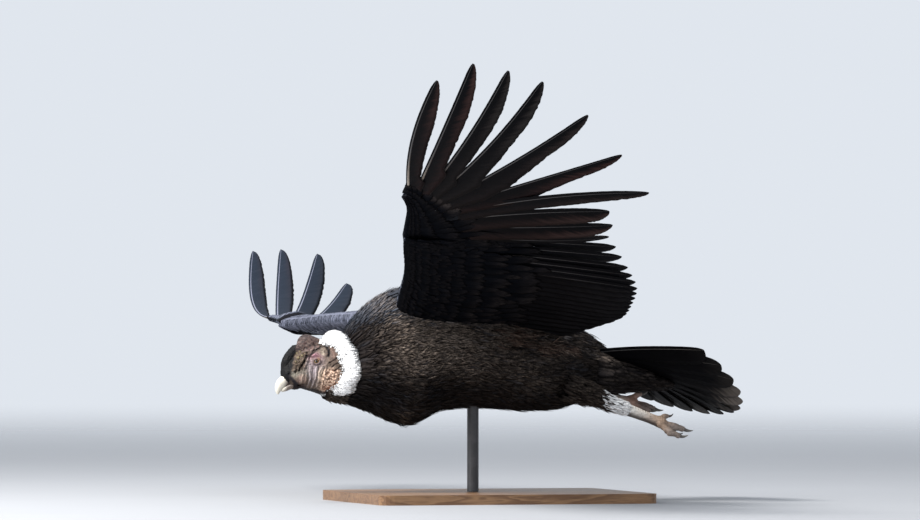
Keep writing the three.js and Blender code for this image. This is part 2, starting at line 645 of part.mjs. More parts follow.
// ---------- stand ----------
const stand = new THREE.Group();
model.add(stand);
const plateShape = new THREE.Shape();
{
  const [w, h, r] = [BASE.x / 2, BASE.y / 2, 30];
  plateShape.moveTo(-w + r, -h).lineTo(w - r, -h).quadraticCurveTo(w, -h, w, -h + r).lineTo(w, h - r).quadraticCurveTo(w, h, w - r, h);
  plateShape.lineTo(-w + r, h).quadraticCurveTo(-w, h, -w, h - r).lineTo(-w, -h + r).quadraticCurveTo(-w, -h, -w + r, -h);
}
const plateS = solid(new THREE.ExtrudeGeometry(plateShape, { depth: BASE.z, bevelEnabled: false, curveSegments: 5 }).translate(BASE.at[0], BASE.at[1], 0));
put("stand_base", plateS, "stand", stand);
{
  const turned = moved(trunkFull, new THREE.Matrix4().makeTranslation(0, 0, BODY_HEIGHT).multiply(new THREE.Matrix4().makeRotationX(-BANK)));
  const length = BODY_HEIGHT - BASE.z - GAP;
  const post = solid(new THREE.CylinderGeometry(ROD.r, ROD.r, length, 20).rotateX(Math.PI / 2).translate(ROD.at[0], ROD.at[1], BASE.z + GAP + length / 2));
  const rod = post.subtract(moved(turned, shift(0, 0, -GAP))).subtract(turned);
  put("stand_rod", rod, "stand", stand);
}

// The origin is under the middle of the model's box, on the floor
model.updateMatrixWorld(true);
const box = new THREE.Box3().setFromObject(model, true);
const mid = box.getCenter(V(0, 0, 0));
model.position.set(-mid.x, -mid.y, -box.min.z);
const out = new THREE.Group();
out.add(model);
export default out;
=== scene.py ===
import math

import bpy
import numpy as np
from mathutils import Matrix, Vector

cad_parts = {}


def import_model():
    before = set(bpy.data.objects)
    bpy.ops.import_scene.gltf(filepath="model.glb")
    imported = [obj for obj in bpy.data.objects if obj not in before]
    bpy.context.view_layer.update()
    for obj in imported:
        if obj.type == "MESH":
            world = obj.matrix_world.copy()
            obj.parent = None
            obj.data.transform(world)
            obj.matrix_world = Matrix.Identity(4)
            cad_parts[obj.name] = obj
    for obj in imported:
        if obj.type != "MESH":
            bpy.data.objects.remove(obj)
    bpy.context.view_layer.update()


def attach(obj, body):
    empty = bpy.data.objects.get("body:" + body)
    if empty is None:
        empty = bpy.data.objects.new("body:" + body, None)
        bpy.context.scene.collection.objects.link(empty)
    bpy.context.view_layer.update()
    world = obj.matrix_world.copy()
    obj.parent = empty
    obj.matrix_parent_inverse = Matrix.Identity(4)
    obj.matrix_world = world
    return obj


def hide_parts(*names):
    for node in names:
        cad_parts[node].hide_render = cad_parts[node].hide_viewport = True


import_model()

rng = np.random.default_rng(11)

# ---------------------------------------------------------------- the bird's own frame
# x to the rear, y to its right, z up, in millimetres; the whole bird is rolled about x and stands at HOME
BANK = math.radians(-10)
HOME = np.array([-83.236, -51.445, 318.0])
CB, SB = math.cos(BANK), math.sin(BANK)


def turn(v):
    v = np.asarray(v, float)
    return np.stack([v[..., 0], v[..., 1] * CB - v[..., 2] * SB, v[..., 1] * SB + v[..., 2] * CB], -1)


def world(p):
    return (turn(p) + HOME) / 1000.0


# ---------------------------------------------------------------- small maths
def unit(a):
    return a / np.maximum(np.linalg.norm(a, axis=-1, keepdims=True), 1e-9)


def mix(a, b, t):
    return a + (b - a) * t


def ease(a, b, x):
    t = np.clip((x - a) / (b - a), 0, 1)
    return t * t * (3 - 2 * t)


def along(rows, t):
    rows = np.asarray(rows, float)
    n = len(rows) - 1
    x = np.clip(t, 0, 1) * n
    i = np.minimum(np.floor(x).astype(int), n - 1)
    f = (x - i)[..., None]
    a, b = rows[np.clip(i - 1, 0, n)], rows[i]
    d, e = rows[np.clip(i + 1, 0, n)], rows[np.clip(i + 2, 0, n)]
    return 0.5 * (2 * b + (d - a) * f + (2 * a - 5 * b + 4 * d - e) * f * f + (3 * b - a - 3 * d + e) * f**3)


def hash3(ix, iy, iz, seed):
    h = (ix * 374761393 + iy * 668265263 + iz * 2147483647 + seed * 1274126177) & 0xFFFFFFFF
    h = ((h ^ (h >> 13)) * 1274126177) & 0xFFFFFFFF
    return ((h ^ (h >> 16)) & 0xFFFFFF) / float(0xFFFFFF)


def noise(p, size, seed=0):
    """Smooth noise from -1 to 1 with features of that size."""
    q = np.asarray(p, float) / size
    i = np.floor(q).astype(np.int64)
    f = q - i
    f = f * f * (3 - 2 * f)
    out = 0.0
    for dx in (0, 1):
        for dy in (0, 1):
            for dz in (0, 1):
                w = (f[..., 0] if dx else 1 - f[..., 0]) * (f[..., 1] if dy else 1 - f[..., 1]) * (f[..., 2] if dz else 1 - f[..., 2])
                out = out + w * hash3(i[..., 0] + dx, i[..., 1] + dy, i[..., 2] + dz, seed)
    return out * 2 - 1


def cells(p, size, seed=0):
    """Distance to the nearest scattered point, 0 at a point to about 1 between them."""
    q = np.asarray(p, float) / size
    i = np.floor(q).astype(np.int64)
    best = np.full(q.shape[:-1], 9.0)
    for dx in (-1, 0, 1):
        for dy in (-1, 0, 1):
            for dz in (-1, 0, 1):
                c = i + np.array([dx, dy, dz])
                o = np.stack([hash3(c[..., 0], c[..., 1], c[..., 2], seed + k) for k in (1, 2, 3)], -1)
                best = np.minimum(best, ((c + o - q) ** 2).sum(-1))
    return np.sqrt(best)


# ---------------------------------------------------------------- the same body rows as the solids
TRUNK = np.array([
    [-344, -34, -85, 40, -56], [-322, 8, -91, 42, -42], [-292, 66, -98, 68, -6], [-250, 106, -109, 106, 2],
    [-200, 138, -130, 122, 14], [-145, 154, -147, 130, 18], [-90, 158, -121, 132, 22], [-30, 154, -106, 128, 22],
    [50, 140, -108, 122, 14], [130, 118, -114, 110, 4], [200, 94, -111, 92, -6], [250, 74, -96, 70, -10],
    [292, 48, -78, 48, -12], [322, 24, -56, 30, -14]], float)
RUFF = np.array([[-340, 46, -70, 50, -14], [-334, 57, -78, 66, -12], [-318, 65, -83, 77, -11],
                 [-300, 68, -84, 83, -10], [-282, 65, -81, 82, -10], [-270, 52, -68, 66, -10]], float)
HEAD = np.array([[-300, 46, -74, 56, -14], [-322, 46, -82, 57, -18], [-342, 38, -80, 49, -20], [-362, 33, -73, 41, -21],
                 [-382, 29, -67, 37, -22], [-402, 19, -61, 31, -24], [-418, 4, -57, 25, -28], [-429, -12, -55, 19, -33],
                 [-438, -27, -51, 12, -38]], float)
COMB = np.array([[-434, -30, 6, 7, 75], [-428, -12, 12, 10, 68], [-419, 4, 15, 12, 52], [-403, 18, 18, 13, 34],
                 [-385, 33, 19, 14, 14], [-369, 37, 19, 14, -8], [-357, 31, 13, 11, -32]], float)
BILL_UPPER = np.array([[-424, -42, 15, 15, 40], [-433, -47, 13, 13, 42], [-441, -53, 11.5, 11, 52],
                       [-446, -61, 9, 8.5, 66], [-448.5, -69, 6, 5.5, 80], [-449, -76, 2.2, 2.2, 92]], float)
BILL_LOWER = np.array([[-414, -56, 7, 14, 34], [-425, -61, 6.5, 11.5, 34], [-434, -65, 5.5, 8.5, 34], [-440, -68.5, 3.2, 5, 36]], float)
EYE = dict(x=-366.0, o=36.0, z=-10.0, r=8.6)
TAIL_COVERTS = np.array([[266, 52, -80, 50, -14], [294, 40, -88, 56, -24], [340, 8, -78, 54, -36],
                         [400, -22, -71, 48, -50], [446, -44, -69, 36, -58], [472, -58, -67, 20, -63]], float)
SHOULDER = np.array([-186, 66, 108.0])
WRIST = np.array([-262, 560, 192.0])
TRAILING = np.array([[0, 178, 576, 163], [0.15, 230, 507, 118], [0.3, 268, 438, 88], [0.5, 282, 347, 66],
                     [0.7, 286, 256, 54], [0.85, 250, 188, 48], [1, 215, 118, 44]], float)
ARM_THICK = np.array([40, 46, 54, 66.0])[:, None]  # wrist to root
ATTACH = [12, 32, 54, 76, 98, 120, 145, 172, 199, 224]
BEHIND = [8, 8, 8, 8, 8, 8, 8, 6, 0, -8]
HANDS = {
    "left": dict(m=[-0.295, 0.935, 0.197], r=[0.929, 0.329, -0.169], n=[0.222, -0.133, 0.966],
                 f=[[92.5, 414, 19, 14], [74, 427, 13, 26], [57.7, 453, 5, 29], [48, 596, 2, 30], [42, 586, 13, 22],
                    [33.2, 610, 21, 14], [25.7, 623, 27, 4], [19.2, 631, 24, 2], [11.9, 607, 24.5, 5.4], [1.7, 551, 15.5, 17]]),
    "right": dict(m=[0.096, 0.983, 0.155], r=[0.965, -0.054, -0.257], n=[0.244, -0.174, 0.954],
                  f=[[80, 425, 16, 3], [70, 444, 18, 4], [60, 470, 21, 3], [50, 540, 27, 1], [39.5, 568, 31, 0],
                     [29.8, 605, 34, 0], [19, 634, 35.5, 2.5], [14, 642, 49, -4], [8.2, 614, 48.5, -9], [-3.2, 548, 48, 4.5]]),
}
SLOTS = [0, 0, 0.8, 0.56, 0.49, 0.44, 0.36, 0.36, 0.22]
LEGS = {
    "left": dict(shin=[[188, 60, -66, 46], [230, 60, -80, 34], [266, 60, -91, 26], [305, 56, -109, 21], [340, 50, -119, 18.5]], toes=[430, 42, -152]),
    "right": dict(shin=[[180, 58, -56, 44], [215, 57, -62, 33], [245, 55, -66, 26], [272, 51, -70, 20], [300, 46, -74, 18]], toes=[388, 36, -92]),
}
TOES = [
    dict(name="outer", o=12, lift=-2, spread=0.14, bones=[[-42, 24], [-25, 20]], claw=[-12, 22, 42], r=7.8),
    dict(name="middle", o=1, lift=2, spread=0.02, bones=[[-17, 29], [-14, 21]], claw=[-20, 24, 30], r=8.6),
    dict(name="inner", o=-10, lift=0, spread=-0.22, bones=[[-31, 22], [-18, 17]], claw=[-14, 22, 40], r=7.6),
    dict(name="hind", o=-3, lift=9, spread=-0.3, bones=[[24, 11], [10, 8]], claw=[6, 18, 46], r=6.4),
]
TAIL_AT = np.array([255, 0, 18.0])


def to_side(p, side):
    """Wing and leg points are x, outward, z; the left side's outward is -y."""
    p = np.array(p, float)
    if side == "left":
        p[..., 1] *= -1
    return p


# ---------------------------------------------------------------- meshes
ATTRS = ("fs", "fr", "fl", "fw", "up", "tone")


def build(name, parts, materials, uv_name="OFBake"):
    """parts: dicts with v (n,3) in body mm, f list of (m,k) faces, m material index, a attributes, uv (n,2) or uvl per face corner."""
    vs, loops, counts, mats, uvs, cols = [], [], [], [], [], []
    attrs = {}
    keys = sorted({k for p in parts for k in p.get("a", {})})
    off = 0
    for p in parts:
        v = np.asarray(p["v"], float)
        vs.append(v)
        for f in p["f"]:
            f = np.asarray(f)
            loops.append((f + off).ravel())
            counts.append(np.full(len(f), f.shape[1]))
            mats.append(np.full(len(f), p.get("m", 0)))
            if "uvl" not in p:
                uvs.append(p["uv"][f.ravel()] if "uv" in p else np.zeros((f.size, 2)))
        if "uvl" in p:
            uvs.append(p["uvl"])
        cols.append(np.broadcast_to(np.asarray(p.get("col", (0.5, 0.5, 0.5)), float), (len(v), 3)))
        for k in keys:
            attrs.setdefault(k, []).append(np.broadcast_to(np.asarray(p.get("a", {}).get(k, 0.0), float), (len(v),)))
        off += len(v)
    v = world(np.concatenate(vs))
    loop = np.concatenate(loops).astype(np.int32)
    count = np.concatenate(counts).astype(np.int32)
    start = np.concatenate([[0], np.cumsum(count)[:-1]]).astype(np.int32)
    me = bpy.data.meshes.new(name)
    me.vertices.add(len(v))
    me.vertices.foreach_set("co", v.astype(np.float32).ravel())
    me.loops.add(len(loop))
    me.loops.foreach_set("vertex_index", loop)
    me.polygons.add(len(count))
    me.polygons.foreach_set("loop_start", start)
    me.polygons.foreach_set("material_index", np.concatenate(mats).astype(np.int32))
    me.polygons.foreach_set("use_smooth", np.ones(len(count), bool))
    me.update(calc_edges=True)
    if uv_name:
        layer = me.uv_layers.new(name=uv_name)
        layer.data.foreach_set("uv", np.concatenate(uvs).astype(np.float32).ravel())
    for k in keys:
        me.attributes.new(k, "FLOAT", "POINT").data.foreach_set("value", np.concatenate(attrs[k]).astype(np.float32))
    if any("col" in p for p in parts):
        c = np.concatenate(cols)
        c = np.concatenate([c, np.ones((len(c), 1))], 1)
        me.color_attributes.new("paint", "FLOAT_COLOR", "POINT").data.foreach_set("color", c.astype(np.float32).ravel())
    for m in materials:
        me.materials.append(m)
    ob = bpy.data.objects.new(name, me)
    bpy.context.scene.collection.objects.link(ob)
    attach(ob, "root")
    return ob


_topo = {}


def topology(R, C):
    """Faces of one closed blade: a top sheet and a bottom sheet that share their rim."""
    if (R, C) not in _topo:
        top = np.arange(R * C).reshape(R, C)
        bot = top.copy()
        bot[1:-1, 1:-1] = R * C + np.arange((R - 2) * (C - 2)).reshape(R - 2, C - 2)
        a = np.stack([top[:-1, :-1], top[:-1, 1:], top[1:, 1:], top[1:, :-1]], -1).reshape(-1, 4)
        b = np.stack([bot[:-1, :-1], bot[1:, :-1], bot[1:, 1:], bot[:-1, 1:]], -1).reshape(-1, 4)
        _topo[(R, C)] = np.concatenate([a, b])
    return _topo[(R, C)]


def blades(C0, N, lead, wf, wb, thick, camber, cols=5, seed=0, tone=0.0, uv=None, uv_size=0.003, mat=0, rag=0.0, roll=0.0, split=0.0, strip=(0.0, 1.0)):
    """Closed thin vanes. C0 (n,R,3) centrelines, N (n,R,3) normals, lead (n,3) the direction of the front vane,
    wf and wb (n,R) widths in front of and behind the shaft, thick (n,R) or number, camber share of width that the edges drop."""
    n, R, _ = C0.shape
    D = np.gradient(C0, axis=1)
    D = unit(D)
    N = unit(N - (N * D).sum(-1, keepdims=True) * D)
    S = np.cross(D, N)
    if lead is not None:
        sg = np.sign((S.mean(1) * lead).sum(-1))
        sg[sg == 0] = 1
    else:
        sg = np.ones(n)
    if np.any(roll):
        r = (np.broadcast_to(np.asarray(roll, float), (n,)) * sg)[:, None, None]
        S, N = S * np.cos(r) + N * np.sin(r), N * np.cos(r) - S * np.sin(r)
    g = np.random.default_rng(seed + 101)
    u = np.linspace(-1, 1, cols)
    uf = u[None, None, :] * sg[:, None, None]  # + is the front vane
    w = np.where(uf > 0, wf[:, :, None], wb[:, :, None])
    edge = np.abs(u) ** 3
    if rag:
        jag = g.normal(0, rag, (n, R, 2))
        jag = jag * np.linspace(0.3, 1.3, R)[None, :, None]
        side = np.where(u > 0, 1, 0)
        w = w * (1 + jag[:, :, side] * edge)
    if split:  # now and then the barbs part, from the edge inwards
        cut = (g.random((n, R, 2)) < split) * g.uniform(0.25, 0.7, (n, R, 2))
        cut[:, 0] = cut[:, -1] = 0
        w = w * (1 - cut[:, :, np.where(u > 0, 1, 0)] * np.abs(u) ** 1.5)
    across = u[None, None, :] * w
    drop = -np.asarray(camber) * (u**2)[None, None, :] * w
    P = C0[:, :, None, :] + S[:, :, None, :] * across[..., None] + N[:, :, None, :] * drop[..., None]
    th = np.broadcast_to(np.asarray(thick, float), (n, R))
    t = np.minimum(1, np.sin(np.linspace(0, np.pi, R)) * 4)[None, :, None] * (1 - np.abs(u) ** 2)[None, None, :] * th[:, :, None] / 2
    top = P + N[:, :, None, :] * t[..., None]
    bot = (P - N[:, :, None, :] * t[..., None])[:, 1:-1, 1:-1]
    V = np.concatenate([top.reshape(n, -1, 3), bot.reshape(n, -1, 3)], 1)
    nv = V.shape[1]
    F = (topology(R, cols)[None] + (np.arange(n) * nv)[:, None, None]).reshape(-1, 4)
    steps = np.concatenate([np.zeros((n, 1)), np.cumsum(np.linalg.norm(np.diff(C0, axis=1), axis=-1), 1)], 1)
    length = steps[:, -1]
    fs = np.broadcast_to((steps / length[:, None])[:, :, None], (n, R, cols))

    def flat(x):
        return np.concatenate([x.reshape(n, -1), x[:, 1:-1, 1:-1].reshape(n, -1)], 1).ravel()

    rnd = g.random(n)
    up = np.ones((n, R, cols))
    up[:, 0], up[:, -1], up[:, :, 0], up[:, :, -1] = 0.5, 0.5, 0.5, 0.5
    upv = np.concatenate([up.reshape(n, -1), np.zeros((n, (R - 2) * (cols - 2)))], 1).ravel()
    a = dict(fs=flat(fs), fl=flat(fs * length[:, None, None]), fw=flat(across * sg[:, None, None] + 0 * fs), fe=flat(np.abs(u)[None, None, :] + 0 * fs), hue=0.0,
             fr=np.repeat(rnd, nv), up=upv, tone=np.repeat(np.broadcast_to(np.asarray(tone, float), (n,)), nv))
    part = dict(v=V.reshape(-1, 3), f=[F], a=a, m=mat)
    if uv is None:  # a strip of the map for each, the two faces side by side and the quill after them
        lo, width = strip
        cell = width / n
        uu = lo + (np.arange(n)[:, None, None] + 0.23 + 0.21 * u[None, None, :] + 0 * fs) * cell
        k = np.stack([flat(uu), flat(0.01 + 0.98 * fs)], -1)[F].reshape(n, 2, -1, 2)
        k[:, 1, :, 0] += 0.45 * cell
        part["uvl"] = k.reshape(-1, 2)
    else:
        uu = uv[:, 0][:, None, None] + (u[None, None, :] * 0.5) * uv_size + 0 * fs
        vv = uv[:, 1][:, None, None] + (fs - 0.5) * uv_size
        part["uv"] = np.stack([flat(uu), flat(vv)], -1)
    return part


def tubes(C0, radius, sides=6, tone=0.0, mat=1, seed=5, uv=None, flat_up=None, squash=1.0, strip=(0.0, 1.0)):
    """Closed round quills along centrelines (n,R,3)."""
    n, R, _ = C0.shape
    D = unit(np.gradient(C0, axis=1))
    ref = np.broadcast_to(np.array([0.13, 0.31, 0.94]), D.shape) if flat_up is None else flat_up
    A = unit(np.cross(D, ref))
    B = np.cross(A, D)
    a = np.arange(sides) / sides * 2 * np.pi
    rad = np.broadcast_to(radius, (n, R))
    V = C0[:, :, None] + rad[:, :, None, None] * (A[:, :, None] * np.cos(a)[None, None, :, None] + B[:, :, None] * np.sin(a)[None, None, :, None] * squash)
    V = np.concatenate([V.reshape(n, -1, 3), C0[:, :1], C0[:, -1:]], 1)
    nv = V.shape[1]
    i, j = np.meshgrid(np.arange(R - 1), np.arange(sides), indexing="ij")
    k = (j + 1) % sides
    q = np.stack([i * sides + j, (i + 1) * sides + j, (i + 1) * sides + k, i * sides + k], -1).reshape(-1, 4)
    jj = np.arange(sides)
    kk = (jj + 1) % sides
    e = (R - 1) * sides
    t = np.concatenate([np.stack([jj, kk, np.full(sides, R * sides)], -1), np.stack([e + kk, e + jj, np.full(sides, R * sides + 1)], -1)])
    off = (np.arange(n) * nv)[:, None, None]
    g = np.random.default_rng(seed)
    fs = np.concatenate([np.repeat(np.linspace(0, 1, R), sides), [0, 1]])
    L = np.linalg.norm(np.diff(C0, axis=1), axis=-1).sum(1)
    uvs = np.zeros((n * nv, 2)) if uv is None else np.repeat(uv, nv, 0) + np.tile(np.stack([np.concatenate([np.tile(np.arange(sides) / sides, R), [0, 0]]) * 0.003, fs * 0.003], -1), (n, 1))
    if uv is None:
        ang = np.concatenate([np.tile(np.arange(sides) / sides, R), [0.5, 0.5]])
        uvs = np.stack([strip[0] + (np.repeat(np.arange(n), nv) + 0.91 + 0.07 * np.tile(ang, n)) / n * strip[1], np.tile(0.01 + 0.98 * fs, n)], -1)
    return dict(v=V.reshape(-1, 3), f=[(q[None] + off).reshape(-1, 4), (t[None] + off).reshape(-1, 3)], m=mat, uv=uvs,
                a=dict(fs=np.tile(fs, n), fl=(np.tile(fs, n) * np.repeat(L, nv)), fw=0.0, fr=np.repeat(g.random(n), nv), up=0.5,
                       tone=np.repeat(np.broadcast_to(np.asarray(tone, float), (n,)), nv)))


# ---------------------------------------------------------------- surfaces
def numeric_normal(f, a, b, da, db, out=None):
    p = f(a, b)
    u = f(a + da, b) - f(a - da, b)
    v = f(a, b + db) - f(a, b - db)
    n = unit(np.cross(u, v))
    if out is not None:
        s = np.sign((n * (p - out(p))).sum(-1, keepdims=True))
        n = n * np.where(s == 0, 1, s)
    return p, n


def sections(rows, e=0.92):
    def at(k, ang, inset=0.0):
        q = along(rows, k)
        x, top, bot, w, mid = (q[..., i] for i in range(5))
        c, s = np.cos(ang), np.sin(ang)
        y = np.sign(c) * np.abs(c) ** e * (w - inset)
        h = np.where(s > 0, top - inset - mid, mid - (bot + inset))
        return np.stack([x + 0 * c, y, mid + np.sign(s) * np.abs(s) ** e * h], -1)

    def surf(k, ang, inset=0.0):
        def axis(p):
            q = along(rows, k)
            return np.stack([p[..., 0], 0 * p[..., 1], q[..., 4] + 0 * p[..., 0]], -1)
        return numeric_normal(lambda a, b: at(a, b, inset), k, ang, 0.004, 0.01, axis)
    return at, surf


trunk_at, trunk_surf = sections(TRUNK)


def ruff_at(k, ang, inset=0.0):
    """The ruff as a collar: k across it from its front edge (0) to its rear edge (1)."""
    k, ang = np.broadcast_arrays(np.asarray(k, float), np.asarray(ang, float))
    c, s = np.cos(ang), np.sin(ang)
    xf = np.interp(s, [-1, -0.75, -0.4, -0.15, 0.1, 0.4, 0.55, 0.7, 1], [-348, -332, -315, -317, -320, -324, -321, -330, -354])
    xb = np.interp(s, [-1, -0.8, -0.5, -0.2, 0.1, 0.5, 0.8, 1], [-284, -268, -262, -267, -276, -293, -300, -304])
    x = mix(xf, xb, k) + (2 * k - 1) * -inset * 0.8
    swell = np.maximum(np.sin(np.pi * np.clip(k, 0, 1)), 0) ** 0.55
    lobe = 1 + 0.03 * np.sin(ang * 9 + 1.0) * k + 0.02 * np.sin(ang * 14) * k
    w = mix(53, 81, swell) * lobe - inset
    t = mix(50, 79, np.maximum(np.sin(np.pi * np.clip(k, 0, 1) ** 1.5), 0) ** 0.7) * lobe - inset
    b = mix(62, 81, swell) * lobe - inset
    return np.stack([x, np.sign(c) * np.abs(c) ** 0.95 * w, -10 + np.where(s > 0, s * t, s * b)], -1)


def ruff_surf(k, ang, inset=0.0):
    def axis(p):
        return np.stack([p[..., 0], 0 * p[..., 1], -10 + 0 * p[..., 0]], -1)
    return numeric_normal(lambda a, b: ruff_at(a, b, inset), np.clip(k, 0.012, 0.988), ang, 0.01, 0.01, axis)


vent_at, vent_surf = sections(TAIL_COVERTS)


def table_at(rows, key):
    key = np.asarray(key, float)
    i = np.clip(np.searchsorted(rows[:, 0], key, side="left") - 1, 0, len(rows) - 2)
    f = np.clip((key - rows[i, 0]) / (rows[i + 1, 0] - rows[i, 0]), 0, 1)
    return along(rows, (i + f) / (len(rows) - 1))


SPAN_DIR = unit(WRIST - SHOULDER)


def arm_mid(side, s, q):
    """Middle surface of the inner wing: s from the wrist 0 to the body 1, q from the front edge 0 to the feather tips 1."""
    s, q = np.broadcast_arrays(np.asarray(s, float), np.asarray(q, float))
    z = 0 * s
    a = WRIST + (SHOULDER - WRIST) * s[..., None] + np.stack([-34 * (1 - s) + 10 * np.sin(np.pi * s) ** 2, z, -14 * (1 - s) + 6 * np.sin(np.pi * s)], -1)
    b = table_at(TRAILING, s)[..., 1:4].copy()
    if side == "right":
        b[..., 2] += -26 * (1 - np.clip(s, 0, 1)) ** 3
    chord = b - a
    n = unit(np.cross(unit(chord), SPAN_DIR))
    n = n * np.where(n[..., 2:3] < 0, -1, 1)
    arch = mix(8, -6, s) * 4 * q * (1 - q) * (1 - 0.35 * q)
    return a + chord * q[..., None] + n * arch[..., None], n, np.linalg.norm(chord, axis=-1)


def arm_thick(s, q):
    t = along(ARM_THICK, np.clip(s, 0, 1))[..., 0]
    shape = np.where(q < 0.1, np.sqrt(np.clip(q / 0.1, 0, 1) * 0.94 + 0.06), np.maximum(np.cos(np.clip((q - 0.1) / 0.52, 0, 1) * np.pi / 2), 0) ** 0.9)
    return np.maximum(4.1, t * shape)


def arm_surf(side, s, q, face, inset=0.0):
    p, n, _ = arm_mid(side, s, q)
    t = arm_thick(s, q)
    p2, _, _ = arm_mid(side, s, q + 0.02)
    back = unit(p2 - p)
    N = n * face
    tip = np.clip(1 - q / 0.09, 0, 1)[..., None]
    Nt = unit(N * (1 - 0.75 * tip) - back * tip * 0.9)
    return to_side(p + N * (t / 2 - inset)[..., None], side), to_side(Nt, side)


class Wing:
    def __init__(self, side):
        H = HANDS[side]
        self.side = side
        self.m, self.r, self.n = (np.array(H[k], float) for k in "mrn")
        self.P, self.D, self.N, self.len = [], [], [], []
        for i, (fan, length, bend, sweep) in enumerate(H["f"]):
            d = self.m * math.cos(math.radians(fan)) + self.r * math.sin(math.radians(fan))
            base = WRIST + self.m * ATTACH[i] + self.r * BEHIND[i]
            r = np.cross(d, self.n)
            p = base.copy()
            ps, ds, ns = [p], [d], [self.n]
            for k in range(24):
                s = (k + 0.5) / 24
                a, b = math.radians(bend) * s**1.6, math.radians(sweep) * s**1.5
                flat = d * math.cos(b) + r * math.sin(b)
                dr = flat * math.cos(a) + self.n * math.sin(a)
                p = p + dr * length / 24
                ps.append(p)
                ds.append(dr)
                ns.append(self.n * math.cos(a) - flat * math.sin(a))
            self.P.append(np.array(ps))
            self.D.append(np.array(ds))
            self.N.append(np.array(ns))
            self.len.append(length)

    def at(self, i, t):
        x = np.clip(t, 0, 1) * 24
        k = np.minimum(np.floor(x).astype(int), 23)
        f = (x - k)[..., None]
        g = lambda A: A[i][k] * (1 - f) + A[i][k + 1] * f
        return g(self.P), unit(g(self.D)), unit(g(self.N))

    def front(self, d, n):
        w = unit(np.cross(d, n))
        return w * np.where((w @ self.r)[..., None] > 0, -1, 1)

    def slot_point(self, i):
        p, d, n = self.at(i, np.array(SLOTS[i] if i < 9 else 0.13))
        return p + self.front(d, n) * 4.5

    def nearest(self, i, p):
        t = np.linspace(0, 1, 101)
        e = np.linalg.norm(self.at(i, t)[0] - p, axis=-1)
        k = int(e.argmin())
        return t[k], e[k]

    def hand(self, c, v, face, inset=0.0):
        """Surface of the hand: c from primary 1 (0) to 10 (9), v from the front edge (-1) over the roots (0) to the free vanes (1)."""
        c, v = np.broadcast_arrays(np.asarray(c, float), np.asarray(v, float))
        cc = np.clip(c, 0, 9)
        dist = np.maximum(v, 0) * mix(150, 60, (cc / 9) ** 1.5)
        i = np.minimum(np.floor(cc).astype(int), 8)
        f = (cc - i)[..., None]
        pa, na = np.zeros(c.shape + (3,)), np.zeros(c.shape + (3,))
        pb, nb = pa.copy(), na.copy()
        for k in range(10):
            t = dist / self.len[k]
            p, _, n = self.at(k, t)
            pa = np.where((i == k)[..., None], p, pa)
            na = np.where((i == k)[..., None], n, na)
            pb = np.where((i + 1 == k)[..., None], p, pb)
            nb = np.where((i + 1 == k)[..., None], n, nb)
        p, n = pa * (1 - f) + pb * f, unit(na * (1 - f) + nb * f)
        q = np.minimum(v, 0)[..., None]
        p = p + self.r * q * mix(40, 17, cc / 9)[..., None] + self.m * q * mix(0, 10, cc / 9)[..., None] + self.n * q * mix(14, 4, cc / 9)[..., None]
        p = p + self.m * np.minimum(c, 0)[..., None] * 30
        base = mix(34, 13, cc / 9)
        t = base * np.where(v < 0, 0.9 * np.sqrt(np.clip(1 - v * v, 0, 1)) + 0.1, np.maximum(np.cos(np.clip(v, 0, 1) * np.pi / 2), 0) * 0.9 + 0.14)
        t = np.maximum(3.6, t)
        N = n * face
        tip = np.clip(-v, 0, 1)[..., None] ** 2
        Nt = unit(N * (1 - 0.75 * tip) - self.r * tip * 0.9)
        return to_side(p + N * (t / 2 - inset)[..., None], self.side), to_side(Nt, self.side)


WINGS = {s: Wing(s) for s in ("left", "right")}


# ---------------------------------------------------------------- skin
def nets(d, origin, h):
    """Surface of a sampled field, as quads, negative inside."""
    s = d < 0
    nx, ny, nz = d.shape
    cell = np.zeros((nx - 1, ny - 1, nz - 1), np.int8)
    corners = [(a, b, c) for a in (0, 1) for b in (0, 1) for c in (0, 1)]
    sub = lambda A, a, b, c: A[a:nx - 1 + a, b:ny - 1 + b, c:nz - 1 + c]
    for a, b, c in corners:
        cell += sub(s, a, b, c)
    live = np.argwhere((cell > 0) & (cell < 8))
    index = np.full(cell.shape, -1, np.int64)
    index[tuple(live.T)] = np.arange(len(live))
    acc, cnt = np.zeros((len(live), 3)), np.zeros(len(live))
    for a, b, c in corners:
        for ax in range(3):
            if (a, b, c)[ax]:
                continue
            o = np.array([a, b, c])
            e = o.copy()
            e[ax] = 1
            p, q = live + o, live + e
            dp, dq = d[tuple(p.T)], d[tuple(q.T)]
            m = (dp < 0) != (dq < 0)
            t = np.where(m, dp / np.where(m, dp - dq, 1), 0)
            acc[m] += (p + (q - p) * t[:, None])[m]
            cnt[m] += 1
    V = acc / cnt[:, None] * h + origin
    F = []
    for ax in range(3):
        o = [(0, 0, 0)] * 4
        u, w = [(1, 2), (2, 0), (0, 1)][ax]
        sl = [slice(None)] * 3
        sl[ax] = slice(0, -1)
        sh = [slice(None)] * 3
        sh[ax] = slice(1, None)
        ch = s[tuple(sl)] != s[tuple(sh)]
        e = np.argwhere(ch)
        e = e[(e[:, u] > 0) & (e[:, w] > 0) & (e[:, u] < d.shape[u] - 1) & (e[:, w] < d.shape[w] - 1)]
        eu, ew = np.zeros(3, int), np.zeros(3, int)
        eu[u], ew[w] = 1, 1
        quad = np.stack([index[tuple((e - eu - ew).T)], index[tuple((e - ew).T)], index[tuple(e.T)], index[tuple((e - eu).T)]], -1)
        inside = s[tuple(e.T)]
        quad[~inside] = quad[~inside][:, ::-1]
        F.append(quad)
    return V, np.concatenate(F)


def grid(lo, hi, h):
    ax = [np.arange(l, u + h, h) for l, u in zip(lo, hi)]
    return np.stack(np.meshgrid(*ax, indexing="ij"), -1).astype(np.float32), np.array(lo, float)


